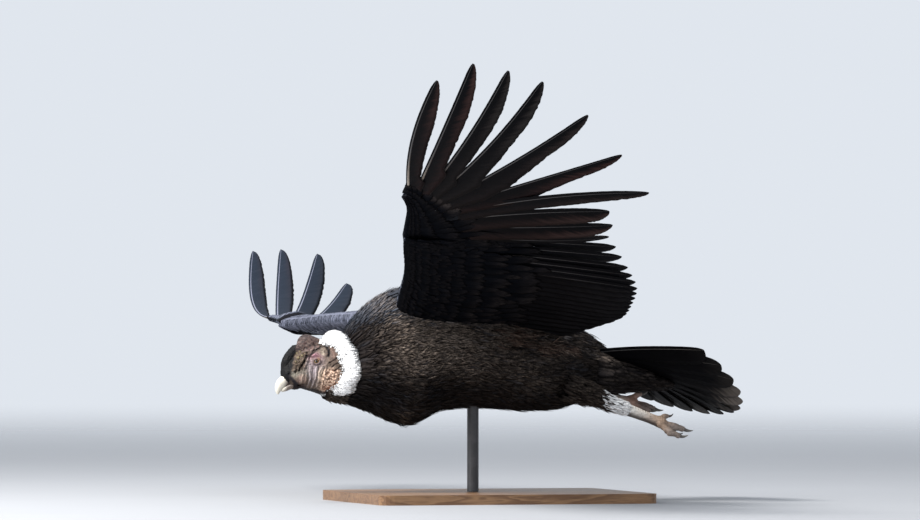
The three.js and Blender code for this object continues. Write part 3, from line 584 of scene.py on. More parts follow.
def smin(a, b, k):
    h = np.clip(0.5 + 0.5 * (b - a) / k, 0, 1)
    return b * (1 - h) + a * h - k * h * (1 - h)


def smax(a, b, k):
    return -smin(-a, -b, k)


def loft_field(rows, inset=0.0, e=0.92, n=400):
    t = np.linspace(0, 1, n)
    q = along(rows, t)
    o = np.argsort(q[:, 0])

    def f(P):
        x = P[..., 0]
        top, bot, w, mid = (np.interp(x, q[o, 0], q[o, i]) for i in (1, 2, 3, 4))
        dz = P[..., 2] - mid
        hgt = np.where(dz > 0, top - mid, mid - bot) - inset
        w = w - inset
        rho = ((np.abs(P[..., 1]) / w) ** (2 / e) + (np.abs(dz) / np.maximum(hgt, 1)) ** (2 / e)) ** (e / 2)
        r = np.hypot(P[..., 1], dz)
        return np.where(rho > 1e-3, r - r / np.maximum(rho, 1e-3), -np.minimum(w, hgt))
    return f


def blob(P, c, radii, axes=None):
    q = P - np.asarray(c, np.float32)
    if axes is not None:
        q = q @ np.asarray(axes, np.float32).T
    r = np.asarray(radii, np.float32)
    k = np.linalg.norm(q / r, axis=-1)
    g = np.linalg.norm(q / (r * r), axis=-1)
    return k * (k - 1) / np.maximum(g, 1e-6)


def blend_blob(d, G, org, h, c, radii, k=2.0, axes=None, cut=False):
    """Joins or cuts an ellipsoid into the field, only in the box round it."""
    c = np.asarray(c, float)
    m = max(radii) + 3 * k + 2
    lo = np.maximum(((c - m - org) / h).astype(int), 0)
    hi = np.minimum(((c + m - org) / h).astype(int) + 2, d.shape)
    if np.any(hi <= lo):
        return
    sl = tuple(slice(a, b) for a, b in zip(lo, hi))
    b = blob(G[sl], c, radii, axes)
    d[sl] = smax(d[sl], -b, k) if cut else smin(d[sl], b, k)


def tilted(deg_):
    a = math.radians(deg_)
    return [[math.cos(a), 0, math.sin(a)], [0, 1, 0], [-math.sin(a), 0, math.cos(a)]]


def px(x, y):
    """A place on the middle plane from the picture: x and z of the bird."""
    return (x - 470) / 0.4288, (360 - y) / 0.445


_hq = along(HEAD, np.linspace(0, 1, 400))
_ho = np.argsort(_hq[:, 0])


def head_y(x, z):
    """Half-width of the head at that place on its side."""
    top, bot, w, mid = (np.interp(x, _hq[_ho, 0], _hq[_ho, i]) for i in (1, 2, 3, 4))
    h = np.where(z > mid, top - mid, mid - bot)
    return w * np.clip(1 - (np.abs(z - mid) / h) ** 2.17, 0.02, 1) ** 0.46


def head_shape(h=1.0):
    G, org = grid((-452, -62, -94), (-293, 62, 66), h)
    d = loft_field(HEAD, 0.8)(G).astype(np.float32)
    d = smax(d, -437 - G[..., 0], 4)
    # lore and cheek: the face narrows in front of the eye, the jaw muscles bulge behind it
    for sgn in (-1, 1):
        blend_blob(d, G, org, h, (-352, sgn * 33, -34), (26, 13, 24), 6)
        blend_blob(d, G, org, h, (-398, sgn * 20, -44), (22, 10, 13), 5)
        blend_blob(d, G, org, h, (-383, sgn * 35, 3), (13, 7, 7), 4, cut=True)
        blend_blob(d, G, org, h, (-368, sgn * 30, 6), (15, 10, 6), 4, tilted(-12))
    # cere: from the comb down to the bill, over its base
    for x, z, r in ((-419, -16, 15), (-425, -27, 15), (-421, -38, 17), (-409, -46, 20)):
        blend_blob(d, G, org, h, (x, 0, z), (r, r * 0.98, r), 5)
    # comb, higher and thicker at the back, a little lobed
    q = along(COMB, np.linspace(0, 1, 26))
    for i, (x, z, hh, w, tilt) in enumerate(q):
        wob = 1 + 0.06 * math.sin(i * 1.3)
        blend_blob(d, G, org, h, (x, 0, z), (9, (w + 1.5) * wob, hh - 0.5), 1.6, tilted(tilt))
    blend_blob(d, G, org, h, (-377, 0, 35), (26, 12.5, 18.5), 3, tilted(6))
    blend_blob(d, G, org, h, (-362, 0, 32), (18, 12.0, 16), 3)
    blend_blob(d, G, org, h, (-364.5, 0, 39), (16.5, 11.0, 15.5), 3)
    blend_blob(d, G, org, h, (-378, 0, 44), (19, 12.0, 15.5), 3)
    blend_blob(d, G, org, h, (-354.5, 0, 37.5), (14, 11.0, 13), 3)
    blend_blob(d, G, org, h, (-406.5, 0, 44), (7, 20, 10), 4, tilted(40), cut=True)
    for x, z, y, r in ((-392, 24, 8.5, 8), (-380, 27, 10, 9), (-368, 27, 9.5, 8.5), (-357, 31, 7, 8)):
        for sgn in (-1, 1):
            blend_blob(d, G, org, h, (x, sgn * y, z), (r * 1.1, r * 0.9, r * 0.85), 2.2)
    # crease all along under the comb
    for x, z in ((-401, 5), (-394, 10), (-386, 14), (-377, 17), (-368, 19), (-359, 22), (-352, 27)):
        for sgn in (-1, 1):
            y = float(head_y(np.array(x), np.array(z))) + 2
            blend_blob(d, G, org, h, (x, sgn * y, z), (6, 6, 2.2), 1.2, tilted(24), cut=True)
    # caruncles between the comb and the eye
    g = np.random.default_rng(3)
    spots = [(296.5, 359, 3.6), (300.3, 357, 3.2), (296, 353.6, 3.0), (299.5, 352.3, 2.6), (303, 354.6, 2.6), (293.6, 363, 3.4), (296.8, 366, 3.6),
             (292.6, 368.4, 3.2), (296, 371, 2.8), (300.4, 362.4, 2.4), (302.5, 350.6, 2.2), (291.4, 372.4, 2.4), (298, 348.6, 2.4)]
    spots += [(float(g.uniform(290, 305)), float(g.uniform(350, 372)), float(g.uniform(1.5, 2.3))) for _ in range(26)]
    for X, Y, r in spots:
        x, z = px(X, Y)
        for sgn in (-1, 1):
            y = float(head_y(np.array(x), np.array(z)))
            blend_blob(d, G, org, h, (x, sgn * (max(y, 9) + 0.2), z), (r, r * 0.95, r), 0.9)
    # dark crevice behind and below the caruncles
    for X, Y in ((305.5, 354), (303.5, 358.5), (302.2, 363), (299.8, 367), (297, 370.3), (293.6, 372.6)):
        x, z = px(X, Y)
        for sgn in (-1, 1):
            y = float(head_y(np.array(x), np.array(z)))
            blend_blob(d, G, org, h, (x, sgn * y, z), (2.2, 5.5, 5.5), 1.2, tilted(-24), cut=True)
    # lids: a rim round the opening, with the socket cut through it
    for sgn in (-1, 1):
        ec = np.array([EYE["x"], sgn * EYE["o"], EYE["z"]])
        blend_blob(d, G, org, h, ec, (EYE["r"] + 2.6,) * 3, 3)
        blend_blob(d, G, org, h, ec, (EYE["r"] + 0.25,) * 3, 0.6, cut=True)
        out = unit(np.array([-0.28, sgn, 0.06]))
        blend_blob(d, G, org, h, ec + out * (EYE["r"] + 1.5), (6.2, 4.5, 4.7), 0.9, tilted(14), cut=True)
    # mouth line
    for i in range(16):
        t = i / 15
        x, z = mix(-436, -398, t), mix(-60, -56.5, t) - 2.5 * math.sin(math.pi * t)
        for sgn in (-1, 1):
            y = float(head_y(np.array(x), np.array(z)))
            blend_blob(d, G, org, h, (x, sgn * (y + 0.5), z), (3.6, 3.4, 1.1), 0.8, cut=True)
    # nostril: a slit right through the cere
    blend_blob(d, G, org, h, (-426.5, 0, -33), (5.4, 20, 2.3), 1.2, tilted(36), cut=True)
    d = np.maximum(d, G[..., 0] + 296.5)
    return nets(d, org, h)


def poly_dist(x, z, pts):
    pts = np.array([px(*p) for p in pts])
    best = np.full(x.shape, 1e9)
    for a, b in zip(pts[:-1], pts[1:]):
        ab = b - a
        t = np.clip(((x - a[0]) * ab[0] + (z - a[1]) * ab[1]) / (ab @ ab), 0, 1)
        best = np.minimum(best, np.hypot(x - a[0] - ab[0] * t, z - a[1] - ab[1] * t))
    return best


def near(x, z, X, Y, rx, ry=None):
    cx, cz = px(X, Y)
    ry = ry or rx
    return np.exp(-(((x - cx) / (rx * 2.3)) ** 2 + ((z - cz) / (ry * 2.3)) ** 2))


# folds and creases of the face as lines on its side, with height and width in mm
FOLDS = [
    ([(313.5, 348), (309, 353.2), (305.8, 359.5), (303.3, 365.9), (300.7, 369.7)], 2.0, 2.0),
    ([(312, 354.5), (307, 357), (302.5, 361.5), (299, 367), (297, 372)], -1.7, 1.6),
    ([(308.5, 361), (309.5, 357.5), (314, 354.6), (319.5, 355), (323, 358)], 1.5, 1.8),
    ([(306.5, 364), (307, 359), (311, 354.4)], -1.2, 1.3),
    ([(324.5, 364), (321.5, 368), (316, 369.4), (311.5, 367)], 1.3, 1.7),
    ([(312.5, 369.5), (311, 376), (310.5, 382), (309, 388)], 1.9, 1.6),
    ([(314.3, 370), (312.6, 377), (312.2, 384)], -1.5, 1.1),
    ([(317.5, 370), (314.6, 375), (313.8, 381), (313.5, 388)], 1.8, 1.5),
    ([(319.5, 371), (316.8, 377), (316, 384), (316, 390)], -1.3, 1.1),
    ([(321.5, 370), (318.8, 376), (318, 384), (318.6, 391)], 1.5, 1.5),
    ([(307, 368), (306, 374), (306.5, 381), (305, 388)], 1.5, 1.6),
    ([(309, 369), (308, 376), (308, 384)], -1.2, 1.1),
    ([(303.6, 372), (302.6, 378), (303, 386)], 1.3, 1.5),
    ([(299.6, 377), (298.2, 382), (297.4, 387)], 1.4, 1.4),
    ([(323.4, 347.5), (325.2, 352), (324, 358.5)], -3.0, 2.0),
    ([(319.5, 349), (320.3, 353.5), (320, 359)], 1.6, 2.2),
    ([(327.6, 351), (329, 356), (329.6, 362)], 1.8, 2.0),
    ([(324.5, 366), (328, 364), (332, 361.5)], -2.0, 1.3),
    ([(326.5, 370.5), (329.5, 368), (333, 366.5)], -1.8, 1.3),
    ([(328.5, 374.5), (331.5, 372.5), (334.5, 370)], -1.7, 1.2),
    ([(322, 347.5), (315, 351), (309.5, 354.8), (304.5, 357)], -1.6, 1.6),
]


def head_skin():
    V, F = head_shape(1.0)
    # normals, then the folds
    fn = np.cross(V[F[:, 2]] - V[F[:, 0]], V[F[:, 3]] - V[F[:, 1]])
    N = np.zeros_like(V)
    for k in range(4):
        np.add.at(N, F[:, k], fn)
    N = unit(N)
    x, z, side = V[:, 0], V[:, 2], np.clip(np.abs(N[:, 1]) * 1.6 - 0.2, 0, 1)
    eye = np.sqrt((x - EYE["x"]) ** 2 + (z - EYE["z"]) ** 2 * 1.3 + (np.abs(V[:, 1]) - EYE["o"] - 6) ** 2)
    clear = ease(7, 11, eye)
    H = np.zeros(len(V))
    paint = {}
    for i, (pts, amp, width) in enumerate(FOLDS):
        wob = noise(V, 9, 40 + i) * 2.0
        H += amp * np.exp(-((poly_dist(x + wob, z + wob, pts) / width) ** 2)) * side * clear
    knob = ease(0.25, 0.75, near(x, z, 325.5, 384, 11.5, 12.5) * 1.25) * ease(-383, -362, x + 0.15 * z + noise(V, 9, 77) * 6)
    knob = np.maximum(knob, ease(0.3, 0.8, near(x, z, 329, 360, 6, 8)) * 0.15)
    cell = cells(V, 4.6, 2)
    H += knob * (1.7 * (1 - cell * 1.5)) * side
    H += (cells(V, 2.7, 8) < 0.5) * -0.25
    comb = ease(14, 22, z - 0.1 * (x + 380)) * (x < -352)
    H += comb * (noise(V, 5, 5) * 0.5 + noise(V, 2.6, 6) * 0.3)
    H += noise(V, 3.2, 9) * 0.32 * clear + noise(V, 7, 10) * 0.3 * clear
    H += np.sin(noise(V, 12, 12) * 5 + x * 0.9) * 0.25 * clear * (1 - comb)
    V2 = V + N * (H * 1.05)[:, None]

    # markings of the face, from the same lines, with painted highlight on the fold ridges and painted shade in their
    # grooves
    tan, grey, dark = np.array([0.235, 0.135, 0.075]), np.array([0.20, 0.175, 0.15]), np.array([0.022, 0.019, 0.022])
    col = np.tile(np.array([0.155, 0.115, 0.088]), (len(V), 1))

    def lay(c, w):
        nonlocal col
        w = np.clip(w, 0, 1)[:, None]
        col = col * (1 - w) + np.asarray(c) * w

    lay([0.155, 0.106, 0.094], comb * 0.95)
    lay([0.10, 0.070, 0.064], comb * ease(-380, -398, x) * 0.8)
    lay([0.27, 0.21, 0.19], comb * ease(0.0, 0.6, noise(V, 4.0, 21)) * 0.7)
    lay([0.17, 0.085, 0.085], comb * ease(0.2, 0.7, noise(V, 7, 23)) * 0.5)
    lay([0.045, 0.036, 0.038], comb * ease(0.0, -0.55, noise(V, 4.5, 22)) * 0.75)
    lay([0.05, 0.042, 0.045], comb * ease(44, 53, z + noise(V, 6, 24) * 3) * 0.5)
    lay([0.255, 0.235, 0.195], near(x, z, 296, 375.5, 9, 3.6) * 1.2 * side)
    lay([0.27, 0.235, 0.22], near(x, z, 305, 368, 3.2, 8) * 0.8 * side)
    lay([0.44, 0.33, 0.35], near(x, z, 312, 363, 6.5, 6.5) * 1.1 * side)
    lay([0.56, 0.29, 0.33], near(x, z, 312, 358, 5.5, 2.8) * 1.0 * side)
    lay([0.33, 0.28, 0.31], near(x, z, 312, 375, 6, 9) * 1.0 * side)
    # painted highlight on the ridges of the cheek folds, painted shade in the grooves between them
    lay([0.44, 0.38, 0.38], sum(np.exp(-((poly_dist(x, z, FOLDS[i][0]) / 1.3) ** 2)) for i in (5, 7, 10)) * 0.75 * side)
    lay([0.16, 0.125, 0.13], sum(np.exp(-((poly_dist(x, z, FOLDS[i][0]) / 1.2) ** 2)) for i in (6, 8, 11, 3)) * 0.75 * side)
    lay([0.58, 0.45, 0.33], near(x, z, 316, 379, 3.6, 8) * 0.9 * side)
    lay([0.72, 0.49, 0.36], knob * ease(0.8, 0.25, cell) * 0.92)
    # painted highlight on the tops of the knobs, painted shade between them
    lay([0.82, 0.60, 0.46], knob * ease(0.45, 0.1, cell) * 0.7)
    lay([0.22, 0.10, 0.06], knob * ease(0.5, 0.8, cell) * 0.7)
    lay([0.20, 0.085, 0.05], knob * near(x, z, 325.5, 391, 5, 3) * 1.1)
    lay([0.155, 0.115, 0.10], near(x, z, 328.5, 357, 4.5, 9) * 0.85 * side)
    lay([0.22, 0.18, 0.145], near(x, z, 319, 353.5, 3.2, 5) * 0.9 * side)
    lay([0.38, 0.33, 0.26], near(x, z, 319.8, 356.5, 1.4, 1.5) * 0.75 * side)
    lay([0.16, 0.10, 0.08], near(x, z, 328.8, 356, 2.6, 6) * 0.8 * side)
    # painted shade in the deep creases: behind the eye, below it towards the cheek, under the comb and behind the
    # caruncles
    wob = noise(V, 4, 83) * 1.3
    lay(dark, np.exp(-((poly_dist(x + wob, z - wob, FOLDS[14][0]) / 2.8) ** 2)) * 1.2 * side)
    lay([0.05, 0.028, 0.024], sum(np.exp(-((poly_dist(x + wob, z, FOLDS[i][0]) / 1.5) ** 2)) for i in (17, 18, 19)) * 0.75 * side)
    lay(dark, np.exp(-((poly_dist(x, z, FOLDS[20][0]) / 2.2) ** 2)) * 0.95 * side)
    lay(dark, np.exp(-((poly_dist(x, z, FOLDS[1][0]) / 2.0) ** 2)) * 0.8 * side)
    # caruncles, yellowish on top
    car = ease(0.3, 0.75, near(x, z, 297.5, 361, 6, 11)) * side
    lay([0.135, 0.1, 0.072], car * 0.8)
    for X, Y, r in ((296.5, 359, 3.4), (300.3, 357, 3), (296, 353.6, 2.6), (299.5, 352.3, 2.2), (293.6, 363, 2.2), (303, 354.6, 2.2)):
        cx, cz = px(X, Y)
        lay([0.52, 0.43, 0.24], np.exp(-(((x - cx) ** 2 + (z - cz) ** 2) / (r * 0.75) ** 2)) * 0.85 * (np.abs(V[:, 1]) > 6))
    # pink wattle by the gape
    lay([0.44, 0.30, 0.25], near(x, z, 298.5, 381, 4, 5) * 0.95 * side)
    lay([0.40, 0.34, 0.27], np.exp(-((poly_dist(x, z, FOLDS[13][0]) / 1.2) ** 2)) * 0.7 * side)
    lay([0.055, 0.032, 0.03], near(x, z, 299, 387, 7, 2.6) * 0.9)
    # near-black cere and front of the face
    edge = np.interp(z, [-60, -36, -20, 0, 20, 40], [-423, -424, -419, -413, -406, -404])
    lay([0.0048, 0.0055, 0.0095], ease(3.5, -3.5, x - edge - noise(V, 8, 31) * 2.5) * (z < 44))
    lay(dark, np.exp(-((poly_dist(x, z, [(287.5, 377.5), (290, 380.5), (292.6, 384), (297, 387.5), (304, 389.5)]) / 3.4) ** 2)) * 1.2)
    # painted shade along the crevice behind and below the caruncles and along the crease under the comb
    rough_ = noise(V, 4, 81) * 1.6
    lay([0.035, 0.026, 0.024], np.exp(-((poly_dist(x + rough_, z - rough_, [(305.5, 354), (303.5, 358.5), (302.2, 363), (299.8, 367), (297, 370.3), (292.6, 373)]) / 2.3) ** 2)) * 0.95 * side)
    lay([0.035, 0.026, 0.024], np.exp(-((poly_dist(x - rough_, z + rough_, [(321.5, 345), (317, 350), (311.5, 353), (306, 355), (302, 354)]) / 2.2) ** 2)) * 0.95 * side)
    lay([0.06, 0.045, 0.042], ease(0.25, 0.7, noise(V, 3.4, 82)) * car * 0.7)
    # throat
    jaw = np.interp(x, [-440, -418, -395, -370, -345, -320, -300], [-58, -59, -65, -70, -76, -84, -88]) + noise(V, 7, 85) * 2
    lay([0.018, 0.015, 0.016], ease(6.5, 0.5, z - jaw) * 0.98)
    lay([0.05, 0.028, 0.018], ease(1.8, 0.2, np.abs(eye - 9.0)) * 0.7 * (eye < 12))
    lay([0.42, 0.22, 0.09], near(x, z, 314.6, 361.6, 1.7, 2.0) * 0.75 * side)
    # brightness rises with the fold height H: painted highlight on the ridges, painted shade in the grooves
    col = col * np.clip(0.68 + 0.22 * noise(V, 2.2, 51) + 0.12 * noise(V, 1.5, 53) + 0.16 * noise(V, 5, 52) + 0.17 * H, 0.12, 1.6)[:, None] * (1 + 0.25 * knob)[:, None]
    col = np.clip(col, 0.006, 0.9)
    return V2, F, col, N


# ---------------------------------------------------------------- limbs
def spline(points, radii, n):
    q = np.concatenate([np.asarray(points, float), np.asarray(radii, float)[:, None]], 1)
    c = along(q, np.linspace(0, 1, n))
    return c[:, :3], c[:, 3]


def round_tube(C, r, sides=24, ends=4, squash=1.0, up=(0, 0, 1.0)):
    """One closed limb with round ends, and its map: around and along."""
    D = unit(np.gradient(C, axis=0))
    A = unit(np.cross(D, np.asarray(up, float)))
    B = np.cross(A, D)
    pre = [C[0] - D[0] * r[0] * math.cos(t) for t in np.linspace(0.15, math.pi / 2, ends, endpoint=False)]
    pr = [r[0] * math.sin(t) for t in np.linspace(0.15, math.pi / 2, ends, endpoint=False)]
    post = [C[-1] + D[-1] * r[-1] * math.cos(t) for t in np.linspace(math.pi / 2, 0.15, ends + 1)[1:]]
    qr = [r[-1] * math.sin(t) for t in np.linspace(math.pi / 2, 0.15, ends + 1)[1:]]
    CC = np.array(pre + list(C) + post)
    rr = np.array(pr + list(r) + qr)
    AA = np.concatenate([np.repeat(A[:1], ends, 0), A, np.repeat(A[-1:], ends, 0)])
    BB = np.concatenate([np.repeat(B[:1], ends, 0), B, np.repeat(B[-1:], ends, 0)])
    a = np.arange(sides) / sides * 2 * np.pi
    V = CC[:, None] + rr[:, None, None] * (AA[:, None] * np.cos(a)[None, :, None] * squash + BB[:, None] * np.sin(a)[None, :, None])
    return V, a


def tube_faces(R, S):
    i, j = np.meshgrid(np.arange(R - 1), np.arange(S), indexing="ij")
    k = (j + 1) % S
    q = np.stack([i * S + j, i * S + k, (i + 1) * S + k, (i + 1) * S + j], -1).reshape(-1, 4)
    jj = np.arange(S)
    kk = (jj + 1) % S
    e = (R - 1) * S
    t = np.concatenate([np.stack([kk, jj, np.full(S, R * S)], -1), np.stack([e + jj, e + kk, np.full(S, R * S + 1)], -1)])
    return q, t


def shell(V, rect, m=0, a=None, flip=False):
    """A closed shell from rings (R,S,3) with caps, with its map in rect (u0, v0, u1, v1)."""
    R, S, _ = V.shape
    q, t = tube_faces(R, S)
    v = np.concatenate([V.reshape(-1, 3), V[:1].mean(1), V[-1:].mean(1)])
    if flip:
        q, t = q[:, ::-1], t[:, ::-1]
    u0, v0, u1, v1 = rect

    def uvs(f):
        ring = np.minimum(f // S, R - 1)
        col = f % S
        col = np.where(f >= R * S, 0, col).astype(float)
        wrapped = (col.max(1) - col.min(1)) > S / 2
        col = np.where(wrapped[:, None] & (col < S / 2) & (f < R * S), col + S, col)
        mid = np.where(f < R * S, col, 0).sum(1) / (f < R * S).sum(1)
        col = np.where(f >= R * S, mid[:, None], col)
        row = np.where(f == R * S, -0.4, np.where(f == R * S + 1, R - 0.6, ring))
        return np.stack([u0 + (u1 - u0) * (col / S), v0 + (v1 - v0) * ((row + 0.5) / R)], -1).reshape(-1, 2)
    return dict(v=v, f=[q, t], m=m, a=a or {}, uvl=np.concatenate([uvs(q), uvs(t)]))


def plate(top, bot, rects, m=0, a=None):
    """A closed slab from an upper and a lower grid (R,C,3), each with its own rect of the map."""
    R, C, _ = top.shape
    i, j = np.meshgrid(np.arange(R - 1), np.arange(C - 1), indexing="ij")
    q = np.stack([i * C + j, i * C + j + 1, (i + 1) * C + j + 1, (i + 1) * C + j], -1).reshape(-1, 4)
    n = R * C
    rim = [i * C for i in range(R)] + [(R - 1) * C + j for j in range(1, C)] + [i * C + C - 1 for i in range(R - 2, -1, -1)] + [j for j in range(C - 2, 0, -1)]
    rim = np.array(rim)
    nx = np.roll(rim, -1)
    side = np.stack([rim, rim + n, nx + n, nx], -1)[:, ::-1]
    v = np.concatenate([top.reshape(-1, 3), bot.reshape(-1, 3)])
    uv = []
    for f, r in ((q, rects[0]), (q, rects[1]), (side % n, rects[0])):
        uv.append(np.stack([r[0] + (r[2] - r[0]) * (f % C) / (C - 1), r[1] + (r[3] - r[1]) * (f // C) / (R - 1)], -1).reshape(-1, 2))
    faces = [q, q[:, ::-1] + n, side]
    uv[1] = np.stack([rects[1][0] + (rects[1][2] - rects[1][0]) * (q[:, ::-1] % C) / (C - 1), rects[1][1] + (rects[1][3] - rects[1][1]) * (q[:, ::-1] // C) / (R - 1)], -1).reshape(-1, 2)
    # rings wound so that the upper side faces out
    c = np.cross(top[-1, 0] - top[0, 0], top[0, -1] - top[0, 0])
    if (c * (top.mean((0, 1)) - bot.mean((0, 1)))).sum() > 0:
        faces = [f[:, ::-1] for f in faces]
        uv = [u.reshape(-1, 4, 2)[:, ::-1].reshape(-1, 2) for u in uv]
    return dict(v=v, f=faces, m=m, a=a or {}, uvl=np.concatenate(uv))


def leg_bones(side):
    """The bones of a bare leg: polylines with radii, the tarsus first, then the toes; and the claws."""
    L = LEGS[side]
    shin = np.array(L["shin"], float)
    root = np.array(L["toes"], float)
    a = shin[-1, :3]
    b = shin[-2, :3]
    bones = [(np.array([mix(a, root, t) for t in (-0.07, 0.3, 0.7, 0.98)]), np.array([15.5, 13.6, 12.4, 13.5]))]
    claws = {}

    def step(p, ang, ln, spread):
        d = np.array([math.cos(math.radians(ang)), spread, math.sin(math.radians(ang))])
        return p + d / np.linalg.norm(d) * ln
    for T in TOES:
        base = root + np.array([-7, T["o"] * 0.5, T["lift"]])
        k1 = step(base, T["bones"][0][0], T["bones"][0][1] + 7, T["spread"])
        k2 = step(k1, T["bones"][1][0], T["bones"][1][1], T["spread"])
        r = T["r"]
        bones.append((np.array([base, mix(base, k1, 0.55), k1, mix(k1, k2, 0.6), k2]), r * np.array([1.05, 0.92, 1.08, 0.86, 0.7])))
        ang, ln, curl = T["claw"]
        pts = [step(k2, ang, -3, T["spread"]), k2]
        for j in range(3):
            pts.append(step(pts[-1], ang + curl * (j - 0.4) * 0.5, ln / 3, T["spread"]))
        claws[T["name"]] = (np.array(pts), np.array([r * 0.56, r * 0.54, r * 0.44, r * 0.28, 0.8]))
    return bones, claws


def leg_skin(side, strip):
    bones, _ = leg_bones(side)
    h = 1.5
    pts = np.concatenate([b[0] for b in bones])
    G, org = grid(pts.min(0) - 22, pts.max(0) + 22, h)
    d = np.full(G.shape[:-1], 50.0, np.float32)
    arc = np.zeros_like(d)
    who = np.zeros(d.shape, np.int8)
    best = np.full(d.shape, 99.0, np.float32)
    for k, (P, r) in enumerate(bones):
        C, rr = spline(P, r * 0.94, 14)
        s = 0.0
        dk = np.full(d.shape, 50.0, np.float32)
        for i in range(len(C) - 1):
            ab = C[i + 1] - C[i]
            L = np.linalg.norm(ab)
            lo = np.maximum(((np.minimum(C[i], C[i + 1]) - 22 - org) / h).astype(int), 0)
            hi = ((np.maximum(C[i], C[i + 1]) + 22 - org) / h).astype(int) + 1
            sl = tuple(slice(a, b) for a, b in zip(lo, hi))
            g = G[sl]
            t = np.clip(((g - C[i]) @ ab) / (L * L), 0, 1)
            e = np.linalg.norm(g - (C[i] + t[..., None] * ab), axis=-1) - mix(rr[i], rr[i + 1], t)
            better = e < best[sl]
            arc[sl] = np.where(better, s + t * L, arc[sl])
            who[sl] = np.where(better, k, who[sl])
            best[sl] = np.minimum(best[sl], e)
            dk[sl] = np.minimum(dk[sl], e)
            s += L
        d = smin(d, dk, 5.0 if k else 2.0)
        if k:  # pads below the joints
            for j, rad in ((2, r[2] * 0.62), (4, r[4] * 0.7), (1, r[1] * 0.5)):
                blend_blob(d, G, org, h, P[j] + np.array([-2.0, 0, -r[j] * 0.5]), (rad * 1.3, rad, rad), 2.5)
    V, F = nets(d, org, h)
    ix = tuple(np.clip(np.round((V - org) / h).astype(int), 0, np.array(d.shape) - 1).T)
    ar, wh = arc[ix], who[ix]
    fn = np.cross(V[F[:, 2]] - V[F[:, 0]], V[F[:, 3]] - V[F[:, 1]])
    N = np.zeros_like(V)
    for k in range(4):
        np.add.at(N, F[:, k], fn)
    N = unit(N)
    # scutes: broad plates on the upper side, small scales on the sides and pads
    pitch = np.where(wh == 0, 6.2, 4.6)
    wave = (ar / pitch) % 1.0
    topside = ease(0.1, 0.6, N[:, 2])
    scute = -0.9 * np.exp(-((np.minimum(wave, 1 - wave) / 0.13) ** 2)) * topside
    c = cells(V, 3.3, 7)
    small = (0.5 - c) * 0.8 * (1 - topside)
    V = V + N * (scute + small + noise(V, 9, 4) * 0.4)[:, None]
    gap = np.maximum(np.exp(-((np.minimum(wave, 1 - wave) / 0.16) ** 2)) * topside, ease(0.55, 0.95, c) * (1 - topside))
    # colour: whitish at the heel, tan towards the toes
    t = np.where(wh == 0, ar / 95.0, 1.0)
    white, tan_ = np.array([0.80, 0.76, 0.70]), np.array([0.38, 0.265, 0.19])
    if side == "right":
        tan_ = np.array([0.42, 0.25, 0.19])
    col = white + (tan_ - white) * ease(0.25, 1.05, t + 0.12 * noise(V, 12, 63))[:, None]
    grey = np.array([0.20, 0.17, 0.155])
    w = (wh > 0) * ease(4, 34, ar) * 0.8
    col = col * (1 - w[:, None]) + grey * w[:, None]
    # painted shade: the tarsus is darkened on its underside, where it faces down
    dark = ease(-0.25, -0.85, N[:, 2]) * (wh == 0) * 0.85
    col = col * (1 - dark[:, None]) + np.array([0.045, 0.035, 0.035]) * dark[:, None]
    col = col * (1 - 0.45 * gap[:, None]) * (1 + 0.2 * noise(V, 5, 61) + 0.12 * noise(V, 2, 62))[:, None]
    # map: one strip for each bone
    u0, v0, u1, v1 = strip
    uv = np.zeros((len(F), 4, 2))
    fw_ = wh[F[:, 0]]
    for k, (P, r) in enumerate(bones):
        ax = unit(P[-1] - P[0])
        sd = unit(np.cross(ax, [0, 0, 1.0]))
        up = np.cross(sd, ax)
        m = fw_ == k
        X = V[F[m]] - P[0]
        along_ = X @ ax
        ang = np.arctan2(X @ sd, X @ up - (0)) / (2 * np.pi) + 0.5
        # faces across the seam stay on one side of it
        lo, hi = ang.min(1, keepdims=True), ang.max(1, keepdims=True)
        ang = np.where((hi - lo > 0.5) & (ang < 0.5), 1.0, ang)
        Lk = np.linalg.norm(P[-1] - P[0]) + 24
        a, b = u0 + (u1 - u0) * k / 5, u0 + (u1 - u0) * (k + 0.94) / 5
        uv[m] = np.stack([a + (b - a) * np.clip(ang, 0, 1), v0 + (v1 - v0) * np.clip((along_ + 14) / Lk, 0, 1)], -1)
    return dict(v=V, f=[F], m=2, col=np.clip(col, 0.01, 0.9), uvl=uv.reshape(-1, 2))


